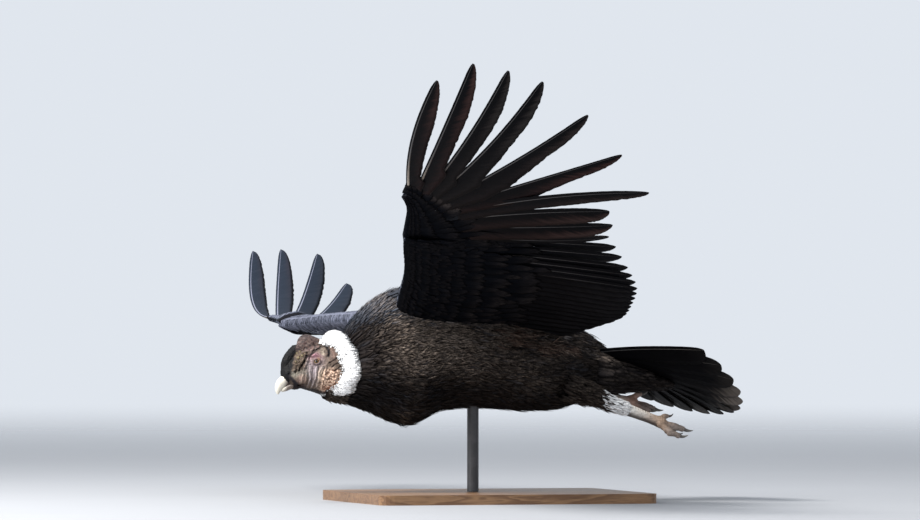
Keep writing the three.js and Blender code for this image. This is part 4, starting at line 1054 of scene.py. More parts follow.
def skin_parts():
    parts = []
    V, F, col, N = head_skin()
    q = np.interp(V[:, 0], _hq[_ho, 0], _hq[_ho, 4])
    ang = np.arctan2(V[:, 1], V[:, 2] - q) / (2 * np.pi) + 0.5
    u, v = ang * 0.6, (V[:, 0] + 452) / 156 * 0.62
    uv = np.stack([u[F], v[F]], -1)
    over = (uv[..., 0].max(1) - uv[..., 0].min(1)) > 0.3
    uv[..., 0] = np.where(over[:, None] & (uv[..., 0] < 0.3), uv[..., 0] + 0.6, uv[..., 0])
    uv[..., 0] = np.minimum(uv[..., 0], 0.62)
    parts.append(dict(v=V, f=[F], m=0, col=col, uvl=uv.reshape(-1, 2)))
    dark = lambda n: np.tile(np.array([0.022, 0.018, 0.017]), (n, 1))
    # trunk, ruff and vent under their feathers
    for at, inset, n, rect, c, m in ((trunk_at, 9.0, 70, (0.64, 0.0, 1.0, 0.34), None, 1), (ruff_at, 3.8, 24, (0.64, 0.35, 1.0, 0.46), (0.90, 0.90, 0.90), 1),
                                     (vent_at, 8.0, 26, (0.64, 0.47, 1.0, 0.56), None, 1)):
        k, a = np.meshgrid(np.linspace(0, 1, n), np.arange(64) / 64 * 2 * np.pi, indexing="ij")
        V = at(k, a, inset)
        p = shell(V, rect, m)
        if np.cross(V[5, 1] - V[5, 0], V[6, 0] - V[5, 0]) @ (V[5, 0] - V[5].mean(0)) < 0:
            p["f"] = [f[:, ::-1] for f in p["f"]]
            cnt = [f.shape for f in p["f"]]
            a0 = cnt[0][0] * 4
            p["uvl"] = np.concatenate([p["uvl"][:a0].reshape(-1, 4, 2)[:, ::-1].reshape(-1, 2), p["uvl"][a0:].reshape(-1, 3, 2)[:, ::-1].reshape(-1, 2)])
        p["col"] = np.tile(np.array(c), (len(p["v"]), 1)) if c else dark(len(p["v"]))
        parts.append(p)
    # wings
    y = 0.64
    for j, side in enumerate(("left", "right")):
        s, q = np.meshgrid(np.linspace(0.0, 1.1, 34), np.concatenate([[0.004, 0.012, 0.025, 0.045], np.linspace(0.07, 0.40, 20)]), indexing="ij")
        P, n, _ = arm_mid(side, s, q)
        t = np.maximum(1.0, arm_thick(s, q) - 8)[..., None] / 2
        x0 = j * 0.5
        p = plate(to_side(P + n * t, side), to_side(P - n * t, side), [(x0, 0.64, x0 + 0.24, 0.75), (x0 + 0.25, 0.64, x0 + 0.49, 0.75)], 1)
        p["col"] = dark(len(p["v"])) * np.array([0.42, 0.55, 0.75])
        # the far right wing's skin is painted lighter and bluer: a painted sky sheen, like its coverts
        if side == "right":
            p["col"] = np.tile(np.array([0.10, 0.11, 0.15]), (len(p["v"]), 1))
        parts.append(p)
        W = WINGS[side]
        c, v = np.meshgrid(np.linspace(-0.9, 9.1, 40), np.concatenate([-np.cos(np.linspace(0, np.pi / 2, 10)), np.linspace(0.08, 0.9, 12)]), indexing="ij")
        A, nA = W.hand(c, v, 1, 3.2)
        B, nB = W.hand(c, v, -1, 3.2)
        mid = (A + B) / 2
        dn = ((A - B) * to_side(np.broadcast_to(W.n, A.shape), side)).sum(-1, keepdims=True)
        A = np.where(dn > 0.8, A, mid + to_side(np.broadcast_to(W.n, A.shape), side) * 0.4)
        B = np.where(dn > 0.8, B, mid - to_side(np.broadcast_to(W.n, A.shape), side) * 0.4)
        p = plate(A, B, [(x0, 0.76, x0 + 0.24, 0.86), (x0 + 0.25, 0.76, x0 + 0.49, 0.86)], 1)
        p["col"] = dark(len(p["v"])) * np.array([0.42, 0.55, 0.75])
        parts.append(p)
        sh = np.array(LEGS[side]["shin"], float)
        C, r = spline(sh[:, :3], np.array([12, 13, 14, 14.5, 12.5]), 24)
        T, _ = round_tube(to_side(C, side), r)
        p = shell(T, (0.64 + 0.18 * j, 0.57, 0.81 + 0.18 * j, 0.63), 1, flip=True)
        w = ease(250, 300, p["v"][:, 0])[:, None]
        p["col"] = dark(len(p["v"])) * (1 - w) + np.array([0.6, 0.58, 0.55]) * w
        parts.append(p)
        leg = leg_skin(side, (x0, 0.87, x0 + 0.49, 1.0))
        if side == "left":
            leg["v"] = to_side(leg["v"], "left")
            leg["f"] = [f[:, ::-1] for f in leg["f"]]
            leg["uvl"] = leg["uvl"].reshape(-1, 4, 2)[:, ::-1].reshape(-1, 2)
        parts.append(leg)
    return parts


def horn_loft(rows, n, sides, groove=0.0):
    """Bill halves: rows of x, z, half-height, half-width, tilt of the section."""
    q = along(np.array(rows, float), np.linspace(0, 1, n))
    a = np.arange(sides) / sides * 2 * np.pi
    rings = []
    for x, z, hh, w, tilt in q:
        t = math.radians(tilt)
        u = np.array([-math.sin(t), 0, math.cos(t)])
        c, s = np.cos(a), np.sin(a)
        ww = w * (1 - 0.22 * np.clip(s, 0, 1) ** 2)
        y = np.sign(c) * np.abs(c) ** 0.85 * ww
        hgt = np.sign(s) * np.abs(s) ** 0.9 * hh
        rings.append(np.array([x, 0, z]) + y[:, None] * np.array([0, 1, 0]) + hgt[:, None] * u)
    return np.array(rings)


# ---------------------------------------------------------------- materials
class Mat:
    def __init__(self, name):
        self.mat = bpy.data.materials.new(name)
        self.mat.use_nodes = True
        self.t = self.mat.node_tree
        self.b = self.t.nodes["Principled BSDF"]

    def put(self, sock, v):
        if isinstance(v, bpy.types.NodeSocket):
            self.t.links.new(v, sock)
        elif sock.type == "RGBA" and len(v) == 3:
            sock.default_value = (*v, 1)
        else:
            sock.default_value = v

    def set(self, **kw):
        for k, v in kw.items():
            self.put(self.b.inputs[k.replace("_", " ")], v)
        return self

    def attr(self, name, out="Fac"):
        a = self.t.nodes.new("ShaderNodeAttribute")
        a.attribute_name = name
        return a.outputs[out]

    def m(self, op, *v, clamp=False):
        x = self.t.nodes.new("ShaderNodeMath")
        x.operation, x.use_clamp = op, clamp
        for i, s in enumerate(v):
            self.put(x.inputs[i], s)
        return x.outputs[0]

    def step(self, a, b, x):
        r = self.t.nodes.new("ShaderNodeMapRange")
        r.interpolation_type = "SMOOTHSTEP"
        self.put(r.inputs["Value"], x)
        self.put(r.inputs["From Min"], a)
        self.put(r.inputs["From Max"], b)
        return r.outputs["Result"]

    def vec(self, x, y, z):
        c = self.t.nodes.new("ShaderNodeCombineXYZ")
        for i, s in enumerate((x, y, z)):
            self.put(c.inputs[i], s)
        return c.outputs[0]

    def pos(self):
        return self.t.nodes.new("ShaderNodeTexCoord").outputs["Object"]

    def noise(self, vector, scale=1.0, detail=2.0, rough=0.5, distortion=0.0):
        x = self.t.nodes.new("ShaderNodeTexNoise")
        self.put(x.inputs["Vector"], vector)
        for k, v in (("Scale", scale), ("Detail", detail), ("Roughness", rough), ("Distortion", distortion)):
            x.inputs[k].default_value = v
        return x.outputs["Fac"]

    def cells(self, vector, scale, feature="F1"):
        x = self.t.nodes.new("ShaderNodeTexVoronoi")
        x.feature = feature
        self.put(x.inputs["Vector"], vector)
        x.inputs["Scale"].default_value = scale
        return x.outputs["Distance"]

    def mix(self, f, a, b, mode="MIX"):
        x = self.t.nodes.new("ShaderNodeMix")
        x.data_type, x.blend_type = "RGBA", mode
        for i, s in ((0, f), (6, a), (7, b)):
            self.put(x.inputs[i], s)
        return x.outputs[2]

    def scale(self, colour, f):
        x = self.t.nodes.new("ShaderNodeVectorMath")
        x.operation = "SCALE"
        self.put(x.inputs[0], colour)
        self.put(x.inputs["Scale"], f)
        return x.outputs[0]

    def bump(self, height, dist, strength=1.0, normal=None):
        x = self.t.nodes.new("ShaderNodeBump")
        self.put(x.inputs["Height"], height)
        x.inputs["Distance"].default_value = dist
        x.inputs["Strength"].default_value = strength
        if normal is not None:
            self.put(x.inputs["Normal"], normal)
        self.put(self.b.inputs["Normal"], x.outputs[0])
        return x.outputs[0]


def barbs(M, fine=1.0, coarse=0.2, slant=1.15):
    """Lines that run from the quill out and towards the tip."""
    fl, fw, fr = M.attr("fl"), M.attr("fw"), M.attr("fr")
    w = M.m("ABSOLUTE", fw)
    u = M.m("SUBTRACT", fl, M.m("MULTIPLY", w, slant))
    r = M.m("MULTIPLY", fr, 91.0)
    a = M.noise(M.vec(M.m("MULTIPLY", u, fine), M.m("MULTIPLY", w, 0.05), r), 1.0, 1.0)
    b = M.noise(M.vec(M.m("MULTIPLY", u, coarse), M.m("MULTIPLY", w, 0.02), r), 1.0, 1.5)
    return a, b


def coat_material(name, base, wear_and_sheen, sky_sheen, edge=0.25, rough=0.62, spec=0.25, tip=(0.55, 1.0), sheen=0.0):
    """Body feathers: base colour; pale tips where tone is high, worn, and in places a painted highlight and sky sheen;
    slate where hue is high, a painted sky sheen.
    """
    M = Mat(name)
    a, b = barbs(M)
    fs, fe, tone, hue, fr = (M.attr(k) for k in ("fs", "fe", "tone", "hue", "fr"))
    # hue above zero mixes in the slate colour, a painted sky sheen; below zero the rust
    c = M.mix(M.m("MAXIMUM", hue, 0.0), base, sky_sheen)
    c = M.mix(M.m("MAXIMUM", M.m("MULTIPLY", hue, -1.0), 0.0, clamp=True), c, (0.062, 0.026, 0.017))
    tipf = M.m("MULTIPLY", M.step(tip[0], tip[1], fs), M.step(0.25, 0.75, M.m("ADD", M.m("MULTIPLY", a, 0.6), M.m("MULTIPLY", b, 0.45))))
    rim = M.m("MULTIPLY", M.step(0.72, 1.0, fe), edge)
    f = M.m("MULTIPLY", M.m("MAXIMUM", tipf, rim), tone, clamp=True)
    # the pale tip colour: wear, and where tone carries it a painted highlight and sheen
    c = M.mix(f, c, wear_and_sheen)
    light = M.m("ADD", M.m("MULTIPLY", fr, 0.35), M.m("MULTIPLY", b, 0.9))
    c = M.scale(c, M.m("ADD", light, 0.38))
    M.set(Base_Color=c, Roughness=rough, Specular_IOR_Level=spec)
    if sheen:
        M.set(Sheen_Weight=sheen, Sheen_Roughness=0.45)
    M.bump(M.m("ADD", M.m("MULTIPLY", a, 0.6), b), 0.0007, 0.8)
    return M.mat


def flight_material(name, top, bottom, warm=(0.10, 0.04, 0.032), grey=(0.10, 0.095, 0.085), tips=None, rim=0.3):
    """Wing and tail feathers: upper and lower colours, where the black feathers' paler, bluer upper colour is a painted
    sky sheen; inner margins warm where tone is high, grey where hue is high.
    """
    M = Mat(name)
    a, b = barbs(M, 0.9, 0.11)
    fs, fe, fw, up, tone, hue, fr = (M.attr(k) for k in ("fs", "fe", "fw", "up", "tone", "hue", "fr"))
    # upper faces take the top colour; on the black feathers it is a painted sky sheen
    c = M.mix(M.step(0.55, 0.85, up), bottom, top)
    inner = M.m("MULTIPLY", M.m("ADD", M.m("MULTIPLY", M.step(0.5, 0.85, fs), 0.75), 0.25), M.m("MULTIPLY", M.step(0.25, 0.95, M.m("ADD", fe, M.m("MULTIPLY", M.m("SUBTRACT", b, 0.5), 0.7))), M.m("LESS_THAN", fw, 0.0)))
    c = M.mix(M.m("MULTIPLY", inner, tone, clamp=True), c, warm)
    c = M.mix(M.m("MULTIPLY", inner, hue, clamp=True), c, grey)
    if tips:
        lo, hi, colour, amount = tips
        f = M.m("MULTIPLY", M.m("MULTIPLY", M.step(lo, hi, M.m("ADD", fs, M.m("MULTIPLY", M.m("SUBTRACT", b, 0.5), 0.2))), amount), tone)
        c = M.mix(f, c, colour)
    if rim:
        c = M.mix(M.m("MULTIPLY", M.step(0.9, 1.0, fe), rim), c, (0.04, 0.036, 0.035))
    light = M.m("ADD", M.m("MULTIPLY", b, 0.6), M.m("ADD", M.m("MULTIPLY", fr, 0.25), 0.55))
    c = M.scale(c, light)
    M.set(Base_Color=c, Roughness=M.m("ADD", M.m("MULTIPLY", b, 0.2), 0.5), Specular_IOR_Level=0.035)
    M.bump(M.m("ADD", a, M.m("MULTIPLY", b, 0.5)), 0.0005, 0.45)
    return M.mat


def quill_material(name, base, tip, until=0.45, top=None):
    M = Mat(name)
    fs = M.attr("fs")
    n = M.noise(M.vec(M.m("MULTIPLY", M.attr("fl"), 0.08), M.m("MULTIPLY", M.attr("fr"), 40.0), 0.0), 1.0, 2.0)
    c = M.mix(M.step(until - 0.3, until + 0.15, M.m("ADD", fs, M.m("MULTIPLY", M.m("SUBTRACT", n, 0.5), 0.2))), base, tip)
    # upward-facing sides of the quill take the top colour, a painted sky sheen
    if top:
        g = M.t.nodes.new("ShaderNodeNewGeometry")
        s = M.t.nodes.new("ShaderNodeSeparateXYZ")
        M.put(s.inputs[0], g.outputs["Normal"])
        c = M.mix(M.step(-0.1, 0.5, s.outputs[2]), c, top)
    c = M.scale(c, M.m("ADD", M.m("MULTIPLY", n, 0.5), 0.75))
    M.set(Base_Color=c, Roughness=0.34, Specular_IOR_Level=0.5)
    M.bump(n, 0.0003, 0.4)
    return M.mat


def down_material(name, base, shade, rough=0.85):
    M = Mat(name)
    a, b = barbs(M, 1.3, 0.35)
    c = M.mix(M.m("MULTIPLY", M.step(0.9, 0.1, M.attr("fs")), 0.75), base, shade)
    c = M.mix(M.m("MULTIPLY", M.attr("tone"), 1.0, clamp=True), c, (0.70, 0.62, 0.47))
    c = M.scale(c, M.m("ADD", M.m("MULTIPLY", a, 0.25), M.m("ADD", M.m("MULTIPLY", M.attr("fr"), 0.14), 0.78)))
    M.set(Base_Color=c, Roughness=rough, Specular_IOR_Level=0.15, Sheen_Weight=0.25, Sheen_Roughness=0.6)
    M.bump(a, 0.0005, 0.6)
    return M.mat


def skin_material(name, rough=0.5, spec=0.4, bumps=((900, 0.00035), (260, 0.0006)), sub=0.0, wet=0.0):
    M = Mat(name)
    p = M.pos()
    n1 = M.noise(p, bumps[0][0], 2.0, 0.6)
    n2 = M.noise(p, bumps[1][0], 3.0, 0.6)
    c = M.attr("paint", "Color")
    c = M.scale(c, M.m("ADD", M.m("MULTIPLY", n1, 0.5), M.m("ADD", M.m("MULTIPLY", n2, 0.5), 0.5)))
    r = M.m("ADD", M.m("MULTIPLY", n2, 0.35), rough - 0.17)
    M.set(Base_Color=c, Roughness=r, Specular_IOR_Level=spec)
    if sub:
        M.set(Subsurface_Weight=sub, Subsurface_Radius=(0.004, 0.0018, 0.001), Subsurface_Scale=1.0)
    k = M.bump(n2, bumps[1][1], 0.8)
    M.bump(n1, bumps[0][1], 0.8, k)
    return M.mat


def bill_material():
    M = Mat("bill_horn")
    p = M.pos()
    n = M.noise(p, 180, 3.0, 0.6)
    streak = M.noise(M.scale(p, 1.0), 900, 1.0)
    s = M.t.nodes.new("ShaderNodeSeparateXYZ")
    M.put(s.inputs[0], p)
    # towards the base the ivory turns grey-brown
    base = M.step(-0.5215, -0.5105, M.m("ADD", s.outputs[0], M.m("MULTIPLY", M.m("SUBTRACT", n, 0.5), 0.006)))
    c = M.mix(base, (0.66, 0.62, 0.53), (0.13, 0.10, 0.085))
    c = M.mix(M.m("MULTIPLY", M.step(0.5, 0.75, n), 0.35), c, (0.56, 0.48, 0.36))
    c = M.scale(c, M.m("ADD", M.m("MULTIPLY", streak, 0.2), 0.9))
    M.set(Base_Color=c, Roughness=M.m("ADD", M.m("MULTIPLY", n, 0.2), 0.22), Specular_IOR_Level=0.5)
    M.bump(M.m("ADD", n, streak), 0.0003, 0.5)
    return M.mat


def claw_material():
    M = Mat("claw_horn")
    p = M.pos()
    n = M.noise(p, 260, 3.0, 0.6)
    fs = M.attr("fs")
    c = M.mix(M.step(0.2, 0.9, M.m("ADD", fs, M.m("MULTIPLY", M.m("SUBTRACT", n, 0.5), 0.5))), (0.045, 0.036, 0.032), (0.16, 0.145, 0.13))
    M.set(Base_Color=c, Roughness=M.m("ADD", M.m("MULTIPLY", n, 0.25), 0.25), Specular_IOR_Level=0.5)
    M.bump(n, 0.0003, 0.6)
    return M.mat


def eye_material():
    M = Mat("eye_iris")
    a = M.attr("fs")   # angle from the middle of the pupil, degrees
    r = M.attr("fr")   # angle round it, turns
    rays = M.noise(M.vec(M.m("MULTIPLY", M.m("SINE", M.m("MULTIPLY", r, 6.2832)), 9.0), M.m("MULTIPLY", M.m("COSINE", M.m("MULTIPLY", r, 6.2832)), 9.0), M.m("MULTIPLY", a, 0.03)), 1.0, 3.0)
    iris = M.mix(rays, (0.14, 0.065, 0.02), (0.40, 0.24, 0.06))
    iris = M.mix(M.step(33, 40, a), iris, (0.045, 0.022, 0.012))
    c = M.mix(M.step(21.0, 23.5, a), (0.003, 0.003, 0.003), iris)
    c = M.mix(M.step(41, 44, a), c, (0.02, 0.012, 0.01))
    M.set(Base_Color=c, Roughness=M.m("ADD", M.m("MULTIPLY", rays, 0.05), 0.03), Specular_IOR_Level=0.35, Coat_Weight=0.35, Coat_Roughness=0.03)
    return M.mat


def wood_material():
    M = Mat("oiled_wood")
    p = M.pos()
    s = M.t.nodes.new("ShaderNodeMapping")
    M.put(s.inputs["Vector"], p)
    s.inputs["Scale"].default_value = (1.2, 14, 14)
    big = M.noise(s.outputs[0], 1.4, 3.0, 0.55, 0.9)
    ring = M.m("FRACT", M.m("MULTIPLY", big, 9.0))
    ringf = M.m("MULTIPLY", M.step(0.0, 0.75, ring), M.step(1.0, 0.8, ring))
    fine = M.noise(s.outputs[0], 26, 3.0, 0.7)
    c = M.mix(ringf, (0.26, 0.145, 0.07), (0.145, 0.072, 0.033))
    c = M.mix(M.m("MULTIPLY", M.step(0.45, 0.75, fine), 0.55), c, (0.085, 0.04, 0.02))
    M.set(Base_Color=c, Roughness=M.m("ADD", M.m("MULTIPLY", fine, 0.25), 0.3), Specular_IOR_Level=0.45)
    M.bump(M.m("ADD", fine, M.m("MULTIPLY", ringf, 0.3)), 0.0006, 0.5)
    return M.mat


def metal_material():
    M = Mat("powder_coat")
    p = M.pos()
    n = M.noise(p, 900, 2.0, 0.6)
    d = M.noise(p, 35, 3.0, 0.6)
    c = M.mix(M.step(0.4, 0.75, d), (0.035, 0.036, 0.04), (0.06, 0.06, 0.065))
    M.set(Base_Color=c, Roughness=M.m("ADD", M.m("MULTIPLY", d, 0.2), 0.35), Specular_IOR_Level=0.5)
    M.bump(n, 0.0003, 0.6)
    return M.mat


# ---------------------------------------------------------------- feather tracts
def paths(surf, a, b, da, db, R, h0, h1, power=1.3):
    s = np.linspace(0, 1, R)
    P, N = surf(a[:, None] + da[:, None] * s, b[:, None] + db[:, None] * s)
    h0, h1 = (np.broadcast_to(np.asarray(h, float), a.shape)[:, None] for h in (h0, h1))
    return P + N * (h0 + (h1 - h0) * s**power)[..., None], N


def outline(R, n, W, front=0.5, root=0.35, blunt=2.4, root_at=0.3):
    """Half widths of a feather along its length: narrow root, full middle, rounded tip."""
    s = np.linspace(0, 1, R)[None, :]
    W = np.broadcast_to(np.asarray(W, float), (n,))[:, None]
    k = (root + (1 - root) * ease(0, root_at, s)) * np.sqrt(np.clip(1 - (np.clip((s - 0.45) / 0.56, 0, 1)) ** blunt, 0, 1))
    k = np.maximum(k, 0.03)
    return W * front * k, W * (1 - front) * k


def lance(R, n, W, root=0.45, point=1.5):
    """Half widths of a loose pointed feather."""
    s = np.linspace(0, 1, R)[None, :]
    k = (root + (1 - root) * ease(0, 0.3, s)) * np.clip(1 - np.clip((s - 0.35) / 0.65, 0, 1) ** point, 0.05, 1)
    W = np.broadcast_to(np.asarray(W, float), (n,))[:, None]
    return W * 0.5 * k, W * 0.5 * k


def ids(*arrays):
    return [np.concatenate([np.atleast_1d(x) for x in a]) for a in zip(*arrays)]


def body_tract(rows, surf, x0, x1, length, width, seed, step=0.27, side=None, lift=(0.0, 5.0), R=7, angles=None, gap=0.56, stray=0.10, loose=0.8):
    """Rows of overlapping feathers over a body, roots staggered; length and width are functions of x."""
    g = np.random.default_rng(seed)
    kk = np.linspace(0, 1, 600)
    xs = along(rows, kk)[:, 0]
    o = np.argsort(xs)
    tox = lambda x: np.interp(x, xs[o], kk[o])
    x, A, X, Lg, Wd = x0, [], [], [], []
    row = 0
    while x < x1:
        q = along(rows, np.array(tox(x)))
        rad = (q[3] + 0.5 * (q[1] - q[2])) / 2
        n = max(6, int(2 * math.pi * rad / (gap * width(x))))
        a = (np.arange(n) + 0.5 * (row % 2) + g.normal(0, 0.16, n)) / n * 2 * np.pi
        A.append(a)
        X.append(np.full(n, x) + g.normal(0, 0.16 * step * length(x), n))
        Lg.append(np.full(n, length(x)) * g.uniform(0.85, 1.15, n))
        Wd.append(np.full(n, width(x)) * g.uniform(0.85, 1.12, n))
        x += step * length(x)
        row += 1
    A, X, Lg, Wd = (np.concatenate(v) for v in (A, X, Lg, Wd))
    A = A % (2 * np.pi)
    if side is not None:
        keep = (np.cos(A) * side) >= 0
        A, X, Lg, Wd = A[keep], X[keep], Lg[keep], Wd[keep]
    if angles is not None:
        keep = angles(A, X)
        A, X, Lg, Wd = A[keep], X[keep], Lg[keep], Wd[keep]
    q = along(rows, tox(X))
    rad = (q[:, 3] + 0.5 * (q[:, 1] - q[:, 2])) / 2
    dev = g.normal(0, stray, len(A))
    sf = lambda x, a: surf(tox(x), a)
    C, N = paths(sf, X, A, Lg * np.cos(dev), Lg * np.sin(dev) / np.maximum(rad, 20), R, lift[0] - 5.0, lift[1] + g.normal(0, loose, len(A)))
    uv = np.stack([A / (2 * np.pi) * 0.98 + 0.01, 0.01 + 0.98 * (X - x0) / (x1 - x0)], -1)
    return dict(C=C, N=N, L=Lg, W=Wd, A=A, X=X, uv=uv, g=g)


def extra_attrs(part, n, **kw):
    nv = len(part["v"]) // n
    for k, v in kw.items():
        part["a"][k] = np.repeat(np.broadcast_to(np.asarray(v, float), (n,)), nv)
    return part


def shifted(part, du=0.0, dv=0.0, su=1.0, sv=1.0):
    for k in ("uv", "uvl"):
        if k in part:
            part[k] = part[k] * np.array([su, sv]) + np.array([du, dv])
    return part


# ---------------------------------------------------------------- the pieces
FACE = skin_material("bare_skin", rough=0.55, spec=0.10, sub=0.05)
UNDER = skin_material("under_feathers", rough=0.9, spec=0.1, bumps=((700, 0.001), (120, 0.003)))
SCALES = skin_material("leg_scales", rough=0.55, spec=0.35, bumps=((1100, 0.0002), (300, 0.0004)))
# in the three coat materials the slate colour is a painted sky sheen
BODY = coat_material("body_feathers", (0.0125, 0.0098, 0.0092), (0.27, 0.215, 0.175), (0.062, 0.074, 0.098), spec=0.04, rough=0.75, tip=(0.1, 0.8))
COVERT = coat_material("wing_coverts", (0.0030, 0.0033, 0.0046), (0.105, 0.084, 0.076), (0.0050, 0.0056, 0.0078), edge=0.25, spec=0.01, rough=0.85)
# upper faces of the coverts: the dark covert material made lighter and bluer, with pale lavender tips, all a painted
# sky sheen
SHEEN_COVERT = coat_material("upper_coverts_sky_sheen", (0.021, 0.027, 0.040), (0.185, 0.195, 0.26), (0.05, 0.065, 0.09), edge=0.35, spec=0.15, tip=(-0.2, 0.5))
WHITE = flight_material("white_secondaries", (0.46, 0.46, 0.48), (0.0034, 0.0034, 0.0045), warm=(0.010, 0.009, 0.010), grey=(0.02, 0.02, 0.022), rim=0.0)
# the bluish upper colour of the black flight feathers and of the tail feathers is a painted sky sheen
FLIGHT = flight_material("flight_feathers", (0.022, 0.029, 0.043), (0.0032, 0.0032, 0.0042), warm=(0.060, 0.022, 0.018), grey=(0.036, 0.034, 0.032))
TAILF = flight_material("tail_feathers", (0.0085, 0.0100, 0.0145), (0.0022, 0.0022, 0.003), warm=(0.012, 0.010, 0.010), grey=(0.02, 0.02, 0.022), tips=(0.80, 0.98, (0.20, 0.17, 0.145), 0.9), rim=0.1)
# the bluish top colours of both quill materials are a painted sky sheen on their upward-facing sides
QUILL = quill_material("quills_below", (0.60, 0.50, 0.40), (0.030, 0.026, 0.026), 0.19, top=(0.20, 0.21, 0.28))
TAILQ = quill_material("quills_tail", (0.016, 0.015, 0.015), (0.10, 0.09, 0.08), 0.6, top=(0.06, 0.06, 0.08))
DOWN = down_material("white_down", (0.95, 0.95, 0.94), (0.90, 0.90, 0.91))

skin = build("skin", skin_parts(), [FACE, UNDER, SCALES])
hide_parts("trunk", "head", "comb", "leg_left_shin", "leg_left_tarsus", "leg_right_shin", "leg_right_tarsus", "foot_left", "foot_right",
            "wing_left_inner", "wing_right_inner", "wing_left_hand", "wing_right_hand")

bu, bl = horn_loft(BILL_UPPER, 60, 40), horn_loft(BILL_LOWER, 40, 32)
p = shell(bu, (0, 0, 1, 1))
upper = build("bill_upper", [p], [bill_material()])
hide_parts("beak_upper")
lower = build("bill_lower", [shell(bl, (0, 0, 1, 1))], [upper.data.materials[0]])
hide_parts("beak_lower")

iris = eye_material()
for side, sg in (("left", -1), ("right", 1)):
    c = np.array([EYE["x"], sg * EYE["o"], EYE["z"]])
    ax = unit(np.array([-0.28, sg * 1.0, 0.06]))
    e1 = unit(np.cross(ax, [0, 0, 1.0]))
    e2 = np.cross(ax, e1)
    th = np.radians(np.concatenate([np.linspace(1.0, 50, 40), np.linspace(56, 178, 20)]))
    ph = np.arange(48) / 48 * 2 * np.pi
    bulge = 1.0 + 0.055 * ease(40, 0, np.degrees(th))
    rad = (EYE["r"] - 0.25) * bulge
    V = c + rad[:, None, None] * (ax * np.cos(th)[:, None, None] + np.sin(th)[:, None, None] * (e1 * np.cos(ph)[None, :, None] + e2 * np.sin(ph)[None, :, None]))
    p = shell(V, (0, 0, 1, 1))
    deg_ = np.concatenate([np.repeat(np.degrees(th), 48), [0, 180]])
    p["a"] = dict(fs=deg_, fr=np.concatenate([np.tile(ph / (2 * np.pi), len(th)), [0, 0]]))
    ob = build("eyeball_" + side, [p], [iris])
    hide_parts("eye_" + side)

horn = claw_material()
for side in ("left", "right"):
    _, claws = leg_bones(side)
    for name, (P, r) in claws.items():
        C, rr = spline(P, r, 30)
        V, _ = round_tube(to_side(C, side), np.maximum(rr * 1.02, 0.5), 20, 4, squash=0.86)
        p = shell(V, (0, 0, 1, 1), flip=True)
        p["a"] = dict(fs=np.concatenate([np.repeat(np.linspace(0, 1, len(V)), 20), [0, 1]]))
        ob = build("talon_%s_%s" % (side, name), [p], [horn])
        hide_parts("claw_%s_%s" % (side, name))

# ruff: short dense white down over the collar, smooth, with a soft bumpy rear edge
g = np.random.default_rng(21)
back = np.array([1.0, 0, 0])
s = np.linspace(0, 1, 5)
parts = {1: [], -1: []}
n = 7600
k = g.random(n)
a = g.random(n) * 2 * np.pi
P, N = ruff_surf(k, a, 3.2)
flow = mix(-0.14, 1.0, ease(0.0, 0.2, k))[:, None] * back
d = unit(N * g.uniform(0.07, 0.16, n)[:, None] + flow * 0.9 + g.normal(0, 0.07, (n, 3)))
L = g.uniform(9.0, 12.5, n) * mix(0.6, 1.0, ease(0.0, 0.3, k)) * mix(1.0, 0.78, ease(0.75, 1.0, k))
curl = unit(N * -0.3 + flow + g.normal(0, 0.25, (n, 3)))
C = P[:, None] + d[:, None] * (L[:, None] * s)[..., None] + curl[:, None] * (L[:, None] * 0.28 * s**2)[..., None]
w = np.tile(np.array([0.6, 1.0, 0.95, 0.7, 0.2]), (n, 1)) * g.uniform(1.7, 3.0, n)[:, None]
cream = ease(48, 66, P[:, 2]) * ease(-312, -290, P[:, 0]) * 0.55 * g.random(n)
uv = np.stack([a / (2 * np.pi) * 0.98 + 0.01, 0.01 + 0.98 * k], -1)
for sname, sg in (("left", -1), ("right", 1)):
    f = P[:, 1] * sg >= 0
    part = blades(C[f], unit(N[f][:, None] + g.normal(0, 0.22, (f.sum(), 1, 3)) + 0 * C[f]), None, w[f], w[f], 0.5, 0.2, 3, 5, cream[f], uv[f])
    ruff = build("ruff_down_" + sname, [part], [DOWN])
    if sg < 0:
        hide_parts("ruff")

# neck behind the head, under the ruff: short black down
n = 1000
k = g.uniform(0.0, 0.13, n)
a = g.uniform(np.pi * 1.22, np.pi * 1.78, n)
P, N = trunk_surf(k, a, mix(6.0, 0.5, ease(-0.75, -0.95, np.sin(a))))
d = unit(N * 0.16 + back * 0.9 + g.normal(0, 0.18, (n, 3)))
L = g.uniform(12, 18, n)
C = P[:, None] + d[:, None] * (L[:, None] * s)[..., None]
w = np.tile(np.array([0.6, 1.0, 0.9, 0.6, 0.15]), (n, 1)) * g.uniform(2, 3.4, n)[:, None]
neck = blades(C, unit(N[:, None] + g.normal(0, 0.4, (n, 1, 3)) + 0 * C), None, w, w, 0.7, 0.2, 3, 6, 0.4, np.stack([a / 6.3, k * 8], -1))


